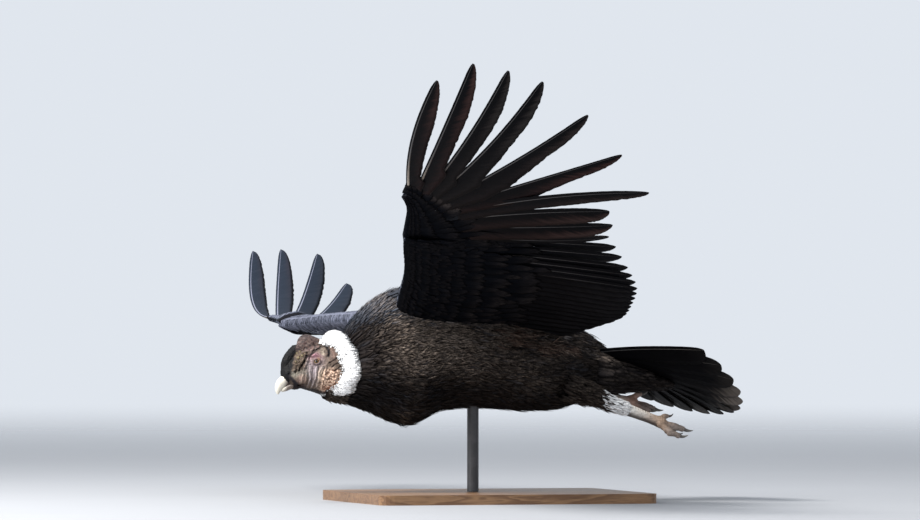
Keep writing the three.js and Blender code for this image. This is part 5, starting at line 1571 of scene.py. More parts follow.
def wear_and_highlight_at(P):
    """Where the body feathers are pale at their tips: worn tips, on the flank behind the ruff partly a painted
    highlight, and scattered over the rest.
    """
    X = 470 + P[:, 0] * 0.4288
    Y = 360 - P[:, 2] * 0.445
    flank = ease(352, 388, X) * ease(470, 420, X) * ease(288, 318, Y) * ease(398, 360, Y)
    rest = ease(372, 400, X) * ease(590, 450, X) * ease(300, 325, Y) * ease(402, 370, Y)
    base = 0.07 + 0.84 * flank + 0.42 * rest
    # pale spots; the thin one at (471, 322) is a painted lit line where the wing meets the body
    for x, y, rx, ry, k in ((432, 318, 14, 3, 0.6), (471, 322, 10, 2, 0.8), (516, 390, 18, 6, 0.35), (392, 416, 4, 4, 0.9), (368, 300, 12, 14, 0.35), (597, 356, 11, 6, 1.2), (545, 357, 16, 6, 0.5)):
        base = base + k * np.exp(-(((X - x) / rx) ** 2 + ((Y - y) / ry) ** 2)) * (P[:, 1] < 0)
    return np.clip(base + (0.10 + 0.2 * flank) * noise(P, 34, 71) + 0.12 * noise(P, 12, 72) * (flank + 0.3), 0.02, 1.0)


def belly_shade_at(P):
    """Painted shade: the belly and the base of the neck, which face down away from the light, are darkened."""
    X = 470 + P[:, 0] * 0.4288
    Y = 360 - P[:, 2] * 0.445
    k = ease(372, 396, Y) * ease(640, 480, X) * 0.5 * ease(455, 425, X) + ease(372, 396, Y) * 0.22 + ease(380, 350, X) * ease(372, 392, Y)
    return np.clip(k + 0.25 * noise(P, 30, 73), 0, 1) * 0.9


def rust_at(P):
    X = 470 + P[:, 0] * 0.4288
    Y = 360 - P[:, 2] * 0.445
    r = np.exp(-(((X - 545) / 15) ** 2 + ((Y - 357.5) / 5) ** 2)) + 0.5 * np.exp(-(((X - 500) / 26) ** 2 + ((Y - 345) / 10) ** 2))
    return np.clip(r * (0.9 + 0.8 * noise(P, 12, 74)), 0, 1)


def trunk_len(x):
    return float(np.interp(x, [-340, -290, -230, -100, 100, 220, 280], [24, 36, 52, 58, 62, 60, 42]))


def trunk_wid(x):
    return float(np.interp(x, [-340, -290, -230, -100, 100, 300], [9, 11, 13.5, 15, 16, 17]))


for sname, sg in (("left", -1), ("right", 1)):
    T = body_tract(TRUNK, trunk_surf, -318, 280, trunk_len, trunk_wid, 31 + sg, step=0.15, side=sg, lift=(-1.0, 1.2), gap=0.60, stray=0.15, loose=1.2)
    keep = ~((T["X"] < -288) & (T["C"][:, 0, 2] > -84) & ((T["C"][:, 0, 2] < 20) | (T["X"] < -306)))
    for key in ("C", "N", "L", "W", "A", "X", "uv"):
        T[key] = T[key][keep]
    n = len(T["L"])
    wf, wb = lance(7, n, T["W"])
    over = ease(55, 105, T["C"][:, 3, 2]) * ease(-292, -262, T["C"][:, 3, 0]) * ease(-140, -190, T["C"][:, 3, 0])
    T["C"] = T["C"] + (T["N"] * np.array([0.3, 0.3, 1.0])) * (14.0 * over)[:, None, None] * np.linspace(0.55, 1.0, T["C"].shape[1])[None, :, None]
    P0 = T["C"][:, 3]
    tone, belly_shade, rust = wear_and_highlight_at(P0), belly_shade_at(P0), rust_at(P0)
    # upper back and shoulders: paler tips, partly worn edges and partly a painted sky sheen; hue gives the slate
    # painted sky sheen on the upper body, and the rust patch where negative
    tone = np.clip(tone + 0.30 * ease(85, 125, P0[:, 2]) * ease(-60, -150, P0[:, 0]) * (0.6 + 0.8 * noise(P0, 14, 75)), 0.02, 1)
    top_sheen = ease(45, 115, P0[:, 2]) * ease(60, -120, P0[:, 0]) * 0.6 + 0.35 * ease(45, 115, P0[:, 2])
    hue = np.where(rust > 0.15, -rust, np.clip(top_sheen + 0.10 * T["g"].normal(0, 1, n), 0, 1))
    dim = lambda k: T["g"].random(k)
    pa = blades(T["C"], T["N"], None, wf, wb, 0.6, 0.08, 3, 7, tone * T["g"].uniform(0.35, 1.0, n), T["uv"], rag=0.24, roll=T["g"].normal(0, 0.10, n))
    # fr is lowered by the painted shade on the belly and the base of the neck
    extra_attrs(pa, n, hue=hue, fr=dim(n) - 1.5 * belly_shade)
    # narrow loose barbs between them, more where the tips are pale: worn, and in places a painted highlight
    m = 4700
    pick = T["g"].choice(n, m, p=(0.25 + tone) / (0.25 + tone).sum())
    gg = T["g"]
    pick = pick[T["X"][pick] < 262]
    m = len(pick)
    P0 = T["C"][pick, 2] + gg.normal(0, 1, (m, 3)) * np.array([9, 8, 8])
    D0 = unit(T["C"][pick, 5] - T["C"][pick, 3])
    N0 = T["N"][pick, 4]
    P0 = P0 - N0 * ((P0 - T["C"][pick, 2]) * N0).sum(-1, keepdims=True) + N0 * 1.5
    d = unit(D0 + N0 * gg.uniform(0.02, 0.13, m)[:, None] + np.cross(D0, N0) * gg.normal(0, 0.20, m)[:, None])
    L = gg.uniform(20, 42, m) * np.interp(P0[:, 0], [-320, -230, 0], [0.6, 0.9, 1.1])
    wave = np.cross(D0, N0) * (gg.normal(0, 0.10, m) + 0.22 * noise(P0, 45, 91))[:, None]
    C = P0[:, None] + d[:, None] * (L[:, None] * s)[..., None] + (wave * L[:, None])[:, None] * (s**2)[None, :, None] - N0[:, None] * (4.5 * s**2)[None, :, None]
    w = np.tile(np.array([0.5, 1.0, 0.9, 0.6, 0.15]), (m, 1)) * gg.uniform(0.7, 2.0, m)[:, None]
    tb = np.clip(tone[pick] * gg.uniform(0.2, 1.5, m) + 0.25 * ease(0.35, 0.8, noise(P0, 22, 92)) * gg.random(m), 0, 1)
    pb = blades(C, N0[:, None] + 0 * C, None, w, w, 0.5, 0.2, 3, 8, tb, T["uv"][pick], roll=gg.normal(0, 0.4, m))
    # fr is lowered by the painted shade on the belly and the base of the neck
    extra_attrs(pb, m, hue=hue[pick], fr=dim(m) - 1.5 * belly_shade[pick])
    build("body_coat_" + sname, [pa] + ([neck] if sg < 0 else []), [BODY])
    build("body_barbs_" + sname, [pb], [BODY])

# scapulars: long feathers from the shoulder back over the root of the wing, laid on the upper envelope of body and wing
for side, sg in (("left", -1), ("right", 1)):
    kk, aa = np.meshgrid(np.linspace(0, 1, 260), np.linspace(0, 2 * np.pi, 300), indexing="ij")
    ss, qq = np.meshgrid(np.linspace(0.55, 1.0, 130), np.linspace(0.01, 0.97, 200), indexing="ij")
    pts = np.concatenate([trunk_surf(kk, aa)[0].reshape(-1, 3), arm_surf(side, ss, qq, 1)[0].reshape(-1, 3)])
    pts = pts[(pts[:, 1] * sg > 0) & (np.abs(pts[:, 1]) < 235) & (pts[:, 0] > -258) & (pts[:, 0] < 268)]
    Hm = np.full((89, 41), -1e3)
    np.maximum.at(Hm, (((pts[:, 0] + 260) / 6).astype(int), (np.abs(pts[:, 1]) / 6).astype(int)), pts[:, 2])
    for _ in range(14):
        pad = np.pad(Hm, 1, mode="edge")
        around = np.stack([pad[:-2, 1:-1], pad[2:, 1:-1], pad[1:-1, :-2], pad[1:-1, 2:], pad[1:-1, 1:-1]])
        ok = around > -500
        mean = np.where(ok, around, 0).sum(0) / np.maximum(ok.sum(0), 1)
        Hm = np.where(Hm > -500, np.maximum(Hm - 0.6, mean), np.where(ok.any(0), mean, -1e3))

    def top_at(x, o):
        i, j = np.clip((x + 260) / 6 - 0.5, 0, 86.9), np.clip(o / 6 - 0.5, 0, 38.9)
        a, b = i.astype(int), j.astype(int)
        u, v = i - a, j - b
        return (Hm[a, b] * (1 - u) + Hm[a + 1, b] * u) * (1 - v) + (Hm[a, b + 1] * (1 - u) + Hm[a + 1, b + 1] * u) * v

    g = np.random.default_rng(57)
    x0 = np.concatenate([np.linspace(-212, 5, 8), np.linspace(-196, 40, 8), np.linspace(-178, 70, 8)])
    o0 = np.concatenate([np.linspace(44, 54, 8), np.linspace(66, 78, 8), np.linspace(88, 108, 8)])
    n = len(x0)
    x0, o0 = x0 + g.normal(0, 5, n), o0 + g.normal(0, 3, n)
    L = g.uniform(112, 140, n) * np.interp(x0, [-210, -120], [0.7, 1.0])
    out_ = np.interp(x0, [-200, 0, 100], [0.34, 0.16, 0.02]) + g.normal(0, 0.04, n)
    s9 = np.linspace(0, 1, 10)[None, :]
    x, o = x0[:, None] + L[:, None] * s9, o0[:, None] + (L * out_)[:, None] * s9**0.8
    lift = -3.5 + 8.0 * s9 + (12.0 * ease(-150, -200, x0))[:, None]
    z = top_at(x, o)
    N = unit(np.stack([-(top_at(x + 4, o) - top_at(x - 4, o)) / 8, sg * -(top_at(x, o + 4) - top_at(x, o - 4)) / 8, np.ones_like(x)], -1))
    C = np.stack([x, sg * o, z], -1) + N * lift[..., None]
    wf, wb = outline(10, n, g.uniform(36, 44, n) * np.interp(x0, [-210, -120], [0.7, 1.0]), 0.5)
    sc = blades(C, N, None, wf, wb, 1.0, 0.07, 7, 58, 0.03, np.stack([0.01 + 0.98 * (x0 + 220) / 340, 0.01 + 0.98 * (o0 - 40) / 84], -1), rag=0.06)
    # hue: the slate painted sky sheen of the back
    extra_attrs(sc, n, hue=g.uniform(0.3, 0.6, n), fr=g.random(n) - 0.7)
    build("scapulars_" + side, [sc], [BODY])

# vent and tail coverts
Tu = body_tract(TAIL_COVERTS, vent_surf, 268, 424, lambda x: float(np.interp(x, [268, 340, 400, 424], [48, 66, 62, 46])), lambda x: float(np.interp(x, [270, 440], [15, 21])), 41, step=0.14, lift=(-0.5, 1.5), R=9, gap=0.5, stray=0.12, loose=1.2)
n = len(Tu["L"])
wf, wb = lance(9, n, Tu["W"], 0.45, 2.2)
under = Tu["C"][:, 0, 2] < -40
pv = blades(Tu["C"], Tu["N"], None, wf, wb, 0.7, 0.10, 3, 9, np.clip(0.35 + 0.2 * Tu["g"].normal(0, 1, n), 0, 1), Tu["uv"], rag=0.20, roll=Tu["g"].normal(0, 0.10, n))
# hue: a faint painted slate sky sheen, a little more on the upper coverts than on the lower
extra_attrs(pv, n, hue=np.where(under, 0.03, 0.06), fr=Tu["g"].random(n) - 0.35, tone=np.clip(0.08 + 0.05 * Tu["g"].normal(0, 1, n) + 1.0 * np.exp(-(((Tu["C"][:, 4, 0] - 306) / 24) ** 2 + ((Tu["C"][:, 4, 2] - 2) / 10) ** 2)) * (Tu["C"][:, 4, 1] < -8), 0, 1))
pv = shifted(pv, 0, 0, 1, 0.5)
# trousers: dark above, white at the ankle
legs = [pv]
for side in ("left", "right"):
    sh = np.array(LEGS[side]["shin"], float)
    gg = np.random.default_rng(51)
    m = 1100
    t = gg.uniform(0.02, 1.0, m) ** 0.85
    a = gg.random(m) * 2 * np.pi
    Cc, rr = spline(sh[:, :3], sh[:, 3], 200)
    i = (t * 199).astype(int)
    D = unit(np.gradient(Cc, axis=0))[i]
    A = unit(np.cross(D, [0, 0, 1.0]))
    B = np.cross(A, D)
    Nn = A * np.cos(a)[:, None] + B * np.sin(a)[:, None]
    P = Cc[i] + Nn * (rr[i] - mix(12.0, 3.2, ease(0, 0.4, t)))[:, None]
    P, D, Nn = to_side(P, side), to_side(D, side), to_side(Nn, side)
    L = gg.uniform(20, 32, m) * mix(1.1, 0.62, t)
    d = unit(D + Nn * gg.uniform(0.05, 0.15, m)[:, None] + gg.normal(0, 0.09, (m, 3)))
    C = P[:, None] + d[:, None] * (L[:, None] * s)[..., None] - Nn[:, None] * (4.0 * s**2)[None, :, None]
    w = np.tile(np.array([0.5, 1.0, 0.9, 0.6, 0.12]), (m, 1)) * gg.uniform(1.4, 3.0, m)[:, None] * mix(1.4, 0.8, t)[:, None]
    white = P[:, 0] > (283 if side == "left" else 250) + gg.normal(0, 6, m)
    for flag, mat in ((~white, 0), (white, 1)):
        q = blades(C[flag], (Nn[:, None] + 0 * C)[flag], None, w[flag], w[flag], 0.7, 0.2, 3, 52, 0.25 if mat == 0 else 0.0,
                   np.stack([a[flag] / 6.2832 * 0.45 + (0.5 if side == "right" else 0.0), 0.5 + 0.5 * t[flag]], -1), mat=mat)
        legs.append(q)
vent = build("vent_coat", legs, [BODY, DOWN])

# tail: twelve feathers with their quills
R = 44
C, N, lead, WF, WB = [], [], [], [], []


def tail_ray(f):
    fan, down = math.radians(48 * f), math.radians(20.5 - (14 if f > 0 else 9) * f * f)
    return np.array([math.cos(fan) * math.cos(down), -math.sin(fan) * math.cos(down), -math.sin(down)])


for i in range(12):
    f = 1 - 2 * i / 11
    fan = math.radians(48 * f)
    d = tail_ray(f)
    nn = unit(np.cross(tail_ray(f - 0.02) - tail_ray(f + 0.02), d))
    nn = nn * np.sign(nn[2])
    Lt = mix(392, 331 if f > 0 else 338, f * f)
    sp = 1 - (1 - np.linspace(0, 1, R)) ** 1.7
    q = 0.08 + 0.92 * sp
    c = TAIL_AT + d * (Lt * q)[:, None] + np.array([0, 0, 11.5 - 5.0 * max(f, 0) ** 2 + 7.0 * max(-f, 0) ** 2]) * np.sin(np.pi * q)[:, None]
    c[:, 2] -= 1.6 * abs(f) * 3 * (1 - q)
    C.append(c)
    N.append(np.tile(nn, (R, 1)))
    across = np.array([-math.sin(fan), -math.cos(fan), 0])
    lead.append(across * (1 if f > 0 else -1))
    tip = np.sqrt(np.clip(1 - np.clip((sp - 0.84) / 0.16, 0, 1) ** 2.4, 0.0006, 1))
    WF.append(np.minimum(11 if i in (0, 11) else 31, 9 + 34 * sp) * tip)
    WB.append(np.minimum(50, 14 + 60 * sp) * tip)
C, N, lead, WF, WB = (np.array(v) for v in (C, N, lead, WF, WB))
pt = blades(C, N, lead, WF, WB, mix(2.2, 1.0, np.linspace(0, 1, R))[None], 0.06, 9, 61, 0.0, None, rag=0.02, roll=math.radians(3))
extra_attrs(pt, 12, hue=0.05, tone=np.array([0.02, 0.05, 0.10, 0.7, 1.0, 0.55, 0.1, 0.05, 0.3, 0.1, 0.2, 0.05]))
pq = tubes(C[:, :-2], mix(2.3, 0.5, np.linspace(0, 1, R - 2))[None], 8, mat=1)
tail = build("tail_feathers", [pt, pq], [TAILF, TAILQ])
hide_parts("tail")

# wings
flights, coverts = {}, {}
for side in ("left", "right"):
    W = WINGS[side]
    wr = []
    R = 72
    WARM = [0.2, 0.9, 0.8, 0.25, 0.75, 0.25, 0.15, 0.2, 0.75, 0.55]
    GREY = [0.3, 0.5, 0.5, 0.35, 0.25, 0.4, 0.6, 0.65, 0.3, 0.25]
    C, N, lead, WF, WB = [], [], [], [], []
    t = 1 - (1 - np.linspace(0, 1, R)) ** 1.5
    for i in range(10):
        P, D, Nn = W.at(i, t)
        tf = SLOTS[i] if i < 9 else 0.13
        if i >= 4:
            tr, root = W.nearest(i, W.slot_point(i - 1))
            q = np.clip((t - tr) / (1 - tr), 0, 1)
            taper = np.where(q < 0.6, 1, np.sqrt(np.maximum(0, 1 - (np.clip((q - 0.6) / 0.41, 0, 1)) ** 2.1)))
            near_ = np.array([W.nearest(i - 1, x)[1] for x in P])
            room = near_ - 7
            free = np.minimum(room, mix(root, 35 if side == "left" else 40, np.clip(q / 0.55, 0, 1) ** 0.8)) * taper
            inner = np.minimum(near_ + 9, 56)
            k = ease(tr - 0.05, tr + 0.02, t)
            back = inner * (1 - k) + free * k
            point = np.where(q < 0.5, 1, np.maximum(0, 1 - (np.clip((q - 0.5) / 0.5, 0, 1)) ** 2.2) ** 0.8)
            if side == "right":
                point = np.sqrt(point)
            back = back * np.where(taper > 0, np.minimum(1, (0.35 * taper + 0.65 * point) / np.maximum(taper, 1e-3)), 1)
            fore = (5.2 + 10 * ease(tf, tf - 0.14, t)) * np.where(q < 0.9, 1, np.sqrt(np.clip(1 - ((q - 0.9) / 0.1) ** 2, 0, 1)))
        else:
            q = t
            taper = np.sqrt(np.clip(1 - np.clip((t - 0.82) / 0.18, 0, 1) ** 2.2, 0.0006, 1))
            near_ = np.array([W.nearest(i - 1, x)[1] for x in P]) if i else np.full(R, 30.0)
            full = i < 3
            back = np.minimum(near_ + (18 if full else 13), 58 if full else 40) * taper * mix(1.0, 0.90 if full else 0.72, ease(0.6, 1.0, t))
            fore = (mix(21, 19, t) if full else mix(15, 12, t)) * taper
        back = np.maximum(back, 0.8)
        fore = np.maximum(fore, 0.8)
        back[-1], fore[-1] = 0.8, 0.8
        C.append(P - Nn * (i % 2) * 0.2)
        N.append(Nn)
        lead.append(-W.r)
        WF.append(fore)
        WB.append(back)
    C, N, lead = to_side(np.array(C), side), to_side(np.array(N), side), to_side(np.array(lead), side)
    WF, WB = np.array(WF), np.array(WB)
    th = mix(2.6, 1.0, np.linspace(0, 1, R))[None]
    pp = blades(C, N, lead, WF, WB, th, 0.05, 9, 71, np.array(WARM), None, rag=0.02, roll=math.radians(4), strip=(0.0, 0.4))
    extra_attrs(pp, 10, hue=np.array(GREY) * (1.0 if side == "left" else 0.25), tone=np.array(WARM) * (1.0 if side == "left" else 0.2))
    qq = tubes(C[:, :-2], mix(3.0, 0.6, np.linspace(0, 1, R - 2) ** 0.8)[None], 8, mat=2, strip=(0.0, 0.4))
    wr += [pp, qq]
    # secondaries
    j = np.arange(18)
    ss = (2 * j + 1) / 36
    R2 = 40
    sp = 1 - (1 - np.linspace(0, 1, R2)) ** 1.6
    q = 0.24 + 0.76 * sp
    P, Nn, ch = arm_mid(side, ss[:, None], q[None, :])
    sp = sp[None]
    tip = np.clip(1 - np.clip((sp - 0.86) / 0.14, 0, 1) ** 2.0, 0.001, 1) ** 0.55
    wf = 16 * tip + 0 * ss[:, None]
    wb = np.minimum(36, 18 + 40 * sp) * tip + 0 * ss[:, None]
    lead2 = np.broadcast_to(SPAN_DIR, (18, 3))
    ps = blades(to_side(P, side), to_side(Nn, side), to_side(lead2, side), wf, wb, mix(2.0, 1.0, sp), 0.05, 9, 73, 0.85, None, rag=0.03,
                roll=math.radians(4.5), strip=(0.4, 0.6), mat=1)
    extra_attrs(ps, 18, hue=0.2)
    qs = tubes(to_side(P, side)[:, :-2], mix(2.2, 0.5, np.linspace(0, 1, R2 - 2))[None], 8, mat=2, strip=(0.4, 0.6))
    wr += [ps, qs]
    flights[side] = wr

    # coverts in rows on both faces of the arm and of the hand
    gg = np.random.default_rng(81)
    cv = []
    rows = [(1, 24, 60, 11, 0), (12, 30, 56, 13, 0), (26, 36, 50, 15, 0), (42, 42, 46, 18, 0), (60, 50, 42, 21, 0), (82, 60, 38, 24, 0), (108, 76, 34, 28, 0), (140, 104, 30, 32, 0), (172, 128, 27, 40, 1)]
    for face in (1, -1):
        for d0, L0, cnt, wid, great in rows:
            m = cnt
            sv = (np.arange(m) + 0.5 + gg.normal(0, 0.22, m)) / m * 1.12 - 0.06
            drop = side == "right" and face < 0
            if drop:
                sv = np.maximum(sv, 0.015 + 0.01 * gg.random(m))
            chord = arm_mid(side, sv, 0 * sv)[2]
            q0 = np.maximum(0.002, (d0 + gg.normal(0, 0.08 * L0, m)) / chord)
            Lr = L0 * gg.uniform(0.92, 1.08, m)
            dq = Lr / chord
            fsurf = lambda a_, b_: arm_surf(side, a_, b_, face, 0.0)
            Cr, Nr = paths(fsurf, sv, q0, gg.normal(0, 0.01, m), dq, 9, -0.6 if d0 == 1 else -2.6, 0.1 if drop else 1.2, 1.2)
            wf_, wb_ = outline(9, m, wid * gg.uniform(0.95, 1.1, m), 0.45)
            ld = np.broadcast_to(to_side(SPAN_DIR, side), (m, 3))
            white = great and face > 0
            uv = np.stack([0.01 + 0.48 * np.clip(sv, 0, 1) + (0 if face > 0 else 0.5), 0.01 + 0.48 * q0 / 0.65], -1)
            # upper faces, and on the right wing the front rows below too, take the bluish upper-covert material,
            # lavender at the front rows and slate where hue is high: a painted sky sheen, stronger on the far right
            # wing; the white greater coverts are their own colour, and the brown tips of the lower faces are worn
            pc = blades(Cr, Nr, ld, wf_, wb_, 0.9, 0.08, 5, 83 + int(d0), (0.95 if d0 < 50 else 0.40 if d0 < 100 else 0.12) * (1.0 if side == "right" else 0.55) if face > 0 or (side == "right" and d0 < 70) else 0.10 + 0.16 * (d0 > 100) * gg.random(m), uv, rag=0.06, split=0.05, roll=math.radians(4) * face, mat=1 if white else 3 if face > 0 or (side == "right" and d0 < 70) else 0)
            extra_attrs(pc, m, hue=gg.uniform(0, 0.5, m))
            if white:
                pc["a"]["up"] = 1.0
                pc["a"]["tone"] = 0.0
            cv.append(pc)
        hrows = [(-1.0, -0.55, 46, 11), (-0.82, -0.3, 42, 12), (-0.6, 0.0, 38, 14), (-0.35, 0.25, 34, 17), (-0.05, 0.62, 28, 20), (0.22, 1.02, 14, 30)]
        for v0, v1, cnt, wid in hrows:
            m = cnt
            c0 = (np.arange(m) + 0.5 + gg.normal(0, 0.2, m)) / m * (11.0 if side == "left" else 10.2) - (1.5 if side == "left" else 0.7)
            fsurf = lambda a_, b_: W.hand(a_, b_, face, 0.0)
            Cr, Nr = paths(fsurf, c0, np.full(m, v0) + gg.normal(0, 0.02, m), np.full(m, 0.15), np.full(m, v1 - v0) * gg.uniform(0.95, 1.06, m), 9, -1.8, 1.0, 1.2)
            wf_, wb_ = outline(9, m, wid * (1.35 if side == "right" and face < 0 else 1.0) * mix(1.1, 0.62, np.clip(c0 / 9, 0, 1)) * gg.uniform(0.95, 1.1, m), 0.45)
            ld = np.broadcast_to(to_side(W.m, side), (m, 3))
            uv = np.stack([0.01 + 0.48 * np.clip((c0 + 0.4) / 10, 0, 1) + (0 if face > 0 else 0.5), 0.51 + 0.48 * (v0 + 1) / 2.1 + 0 * c0], -1)
            brown = (face < 0) & (v0 > 0.1)
            # upper faces, and on the right wing the front row below, take the bluish upper-covert material, lavender at
            # the front: a painted sky sheen; the brown tips below, by the primaries' roots, are worn
            pc = blades(Cr, Nr, ld, wf_, wb_, 0.9, 0.08, 5, 93 + int(v0 * 100), np.where((c0 > 2.2) & (c0 < 6.5), 1.0, 0.25) * gg.uniform(0.2, 0.9, m) if brown else (0.9 if v0 < -0.5 else 0.25) if face > 0 or (side == "right" and v0 < -0.7) else 0.10, uv, rag=0.06, split=0.05, roll=math.radians(4) * face, mat=3 if face > 0 or (side == "right" and v0 < -0.7) else 0)
            extra_attrs(pc, m, hue=gg.uniform(0, 0.5, m))
            cv.append(pc)
    # feathers that cross the bend of the wing
    for face in (1, -1):
        m = 58
        sv = gg.uniform(0.0, 0.13, m)
        q0 = gg.uniform(0.004, 0.52, m)
        Lr = gg.uniform(42, 66, m)
        Cr, Nr = paths(lambda a_, b_: arm_surf(side, a_, b_, face, 0.0), sv, q0, -Lr * 0.75 / 505, Lr * 0.75 / 440, 9, -2.0, 2.2, 1.0)
        wf_, wb_ = outline(9, m, gg.uniform(15, 22, m), 0.5)
        # upper faces take the bluish upper-covert material, lavender near the front edge: a painted sky sheen
        pc = blades(Cr, Nr, np.broadcast_to(to_side(SPAN_DIR, side), (m, 3)), wf_, wb_, 0.9, 0.08, 5, 99, 0.25, np.stack([0.01 + 0.48 * sv + (0 if face > 0 else 0.5), 0.01 + 0.48 * q0 / 0.65], -1), rag=0.06, split=0.05, mat=3 if face > 0 else 0)
        extra_attrs(pc, m, hue=gg.uniform(0, 0.5, m), tone=np.where(q0 < 0.1, 0.9 if face > 0 else 0.1, 0.2 if face > 0 else 0.08))
        cv.append(pc)
        m = 64
        sv = gg.uniform(0.0, 0.035, m)
        q0 = np.linspace(-0.004, 0.5, m)
        Lr = gg.uniform(44, 60, m)
        Cr, Nr = paths(lambda a_, b_: arm_surf(side, a_, np.maximum(b_, 0.001), face, 0.0), sv, q0, -Lr * 0.2 / 505, Lr / 440, 9, -0.5, 3.4, 1.0)
        wf_, wb_ = outline(9, m, gg.uniform(22, 30, m), 0.5)
        # upper faces take the bluish upper-covert material, lavender near the front edge: a painted sky sheen
        pc = blades(Cr, Nr, np.broadcast_to(to_side(SPAN_DIR, side), (m, 3)), wf_, wb_, 0.9, 0.12, 5, 100, 0.1, np.stack([0.01 + 0.48 * sv + (0 if face > 0 else 0.5), 0.01 + 0.48 * np.maximum(q0, 0) / 0.65], -1), rag=0.06, mat=3 if face > 0 else 0)
        extra_attrs(pc, m, hue=gg.uniform(0, 0.5, m), tone=np.where(q0 < 0.1, 0.9, 0.2) if face > 0 else 0.08)
        cv.append(pc)
    # small feathers wrapped over the front edge
    for up_ in (1, -1):
        for row in (0, 1):
            m = 84
            sv = (np.arange(m) + 0.5 * row + gg.normal(0, 0.2, m)) / m
            b0 = (-0.012 if row == 0 else 0.004) * up_ + gg.normal(0, 0.001, m)
            s7 = np.linspace(0, 1, 7)[None, :]
            b = b0[:, None] + (0.052 * up_) * s7 * gg.uniform(0.85, 1.1, m)[:, None]
            S7 = np.clip(sv[:, None] + 0 * b, 0.0, 1.0)
            Pu = arm_surf(side, S7, np.maximum(np.abs(b), 0.0004), 1, 0.0)[0]
            Pl = arm_surf(side, S7, np.maximum(np.abs(b), 0.0004), -1, 0.0)[0]
            Pe = np.where((b > 0)[..., None], Pu, Pl)
            core = to_side(arm_mid(side, S7, 0 * b + 0.04)[0], side)
            Ne = unit(Pe - core)
            Ce = Pe + Ne * (-0.8 + 2.2 * s7[..., None])
            wf_, wb_ = lance(7, m, gg.uniform(12, 16, m), 0.6, 2.2)
            # on the right wing both faces, on the left wing the upper face, take the bluish upper-covert material with
            # lavender tips: a painted sky sheen, strongest on the far right wing
            pc = blades(Ce, Ne, None, wf_, wb_, 0.7, 0.1, 3, 103 + row, (0.95 if side == "right" else 0.5 if up_ > 0 else 0.08),
                        np.stack([0.01 + 0.48 * sv + (0 if up_ > 0 else 0.5), 0.004 + 0 * sv], -1), rag=0.05, mat=3 if up_ > 0 or side == "right" else 0)
            extra_attrs(pc, m, hue=gg.uniform(0, 0.4, m))
            cv.append(pc)
    # alula on the front edge of the hand
    m = 4
    c0 = np.array([0.4, 0.7, 1.0, 1.3])
    Cr, Nr = paths(lambda a_, b_: W.hand(a_, b_, 1, 0.0), c0, np.array([-0.80, -0.72, -0.64, -0.56]), np.array([4.6, 4.0, 3.3, 2.6]), np.full(m, 0.22), 12, 0.0, 2.4, 1.0)
    wf_, wb_ = outline(12, m, 20, 0.35)
    pc = blades(Cr, Nr, np.broadcast_to(to_side(-W.r, side), (m, 3)), wf_, wb_, 1.2, 0.1, 5, 97, 0.2, np.stack([c0 / 10, 0.6 + 0 * c0], -1))
    extra_attrs(pc, m, hue=0.3)
    # the alula takes the bluish upper-covert material, a painted sky sheen
    pc["m"] = 3
    cv.append(pc)
    coverts[side] = cv
    ob = build("wing_feathers_" + side, wr, [FLIGHT, WHITE, QUILL])
    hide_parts(*["wing_%s_primary_%d" % (side, i) for i in range(4, 11)])
    build("wing_coverts_" + side, cv, [COVERT, WHITE, QUILL, SHEEN_COVERT])

# stand
for name, m in (("stand_base", wood_material()), ("stand_rod", metal_material())):
    ob = bpy.data.objects[name]
    ob.data.materials.clear()
    ob.data.materials.append(m)

# ---------------------------------------------------------------- camera, light and floor
beta = math.radians(15.5)
right = Vector((math.cos(beta), -math.sin(beta), 0))
toward = Vector((-math.sin(beta), -math.cos(beta), 0))
up = Vector((0, 0, 1))
mm_per_px = 1 / 0.445
home = Vector(HOME) / 1000
target = home + right * (-10 * mm_per_px / 1000) + up * (100 * mm_per_px / 1000)
cam = bpy.data.cameras.new("camera")
cam.lens = 348.26
cam.sensor_width = 36
cam.clip_start, cam.clip_end = 0.5, 200
camera = bpy.data.objects.new("camera", cam)
camera.matrix_world = Matrix.Translation(target + toward * 20.0) @ Matrix((right, up, toward)).transposed().to_4x4()
bpy.context.scene.collection.objects.link(camera)
bpy.context.scene.camera = camera

world_ = bpy.data.worlds.new("studio")
bpy.context.scene.world = world_
world_.use_nodes = True
bg = world_.node_tree.nodes["Background"]
bg.inputs["Color"].default_value = (0.83, 0.88, 0.95, 1)
bg.inputs["Strength"].default_value = 0.9
bpy.context.scene.view_settings.view_transform = "Standard"


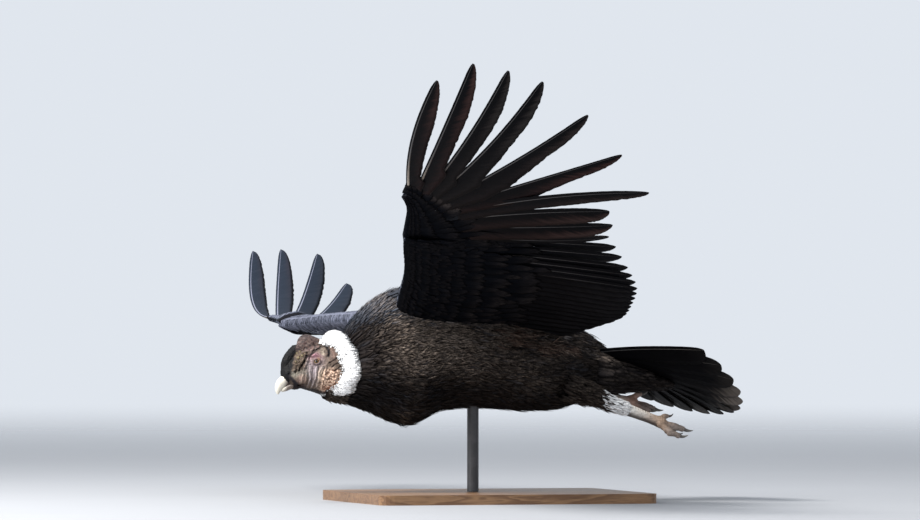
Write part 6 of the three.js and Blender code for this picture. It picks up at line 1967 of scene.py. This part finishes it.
def area(name, direction, distance, size, power, colour):
    li = bpy.data.lights.new(name, "AREA")
    li.shape, li.size, li.energy, li.color = "DISK", size, power, colour
    ob = bpy.data.objects.new(name, li)
    d = direction.normalized()
    ob.location = home + d * distance
    ob.rotation_euler = d.to_track_quat("Z", "Y").to_euler()
    bpy.context.scene.collection.objects.link(ob)


area("key", right * -0.5 + up * 0.85 + toward * 0.26, 5.0, 2.2, 400, (1.0, 0.975, 0.94))
area("fill", right * -0.8 + up * 0.42 + toward * 0.55, 6.0, 3.0, 230, (1.0, 0.98, 0.96))

M = Mat("studio_floor")
n = M.noise(M.pos(), 2.0, 4.0, 0.6)
c = M.mix(n, (0.33, 0.34, 0.36), (0.36, 0.37, 0.39))
M.set(Base_Color=c, Roughness=M.m("ADD", M.m("MULTIPLY", n, 0.1), 0.7), Specular_IOR_Level=0.15)
M.bump(n, 0.002, 0.2)
tr = M.t.nodes.new("ShaderNodeBsdfTransparent")
mx = M.t.nodes.new("ShaderNodeMixShader")
out = M.t.nodes["Material Output"]
sep = M.t.nodes.new("ShaderNodeSeparateXYZ")
M.put(sep.inputs[0], M.pos())
rad = M.m("SQRT", M.m("ADD", M.m("MULTIPLY", sep.outputs[0], sep.outputs[0]), M.m("MULTIPLY", sep.outputs[1], sep.outputs[1])))
M.put(mx.inputs[0], M.step(2.2, 14.0, rad))
M.t.links.new(M.b.outputs[0], mx.inputs[1])
M.t.links.new(tr.outputs[0], mx.inputs[2])
M.t.links.new(mx.outputs[0], out.inputs["Surface"])
me = bpy.data.meshes.new("floor")
k = 96
me.from_pydata([(0, 0, 0)] + [(r_ * math.cos(i / k * 2 * math.pi), r_ * math.sin(i / k * 2 * math.pi), 0) for r_ in (2.0, 15.0) for i in range(k)], [],
               [(0, 1 + i, 1 + (i + 1) % k) for i in range(k)] + [(1 + i, 1 + k + i, 1 + k + (i + 1) % k, 1 + (i + 1) % k) for i in range(k)])
me.materials.append(M.mat)
floor = bpy.data.objects.new("floor", me)
bpy.context.scene.collection.objects.link(floor)

bpy.context.view_layer.update()
tris = {o.name: sum(len(f.vertices) - 2 for f in o.data.polygons) for o in bpy.data.objects if o.type == "MESH"}
print("TRIS", sum(tris.values()), {k: v for k, v in tris.items() if v > 3000})
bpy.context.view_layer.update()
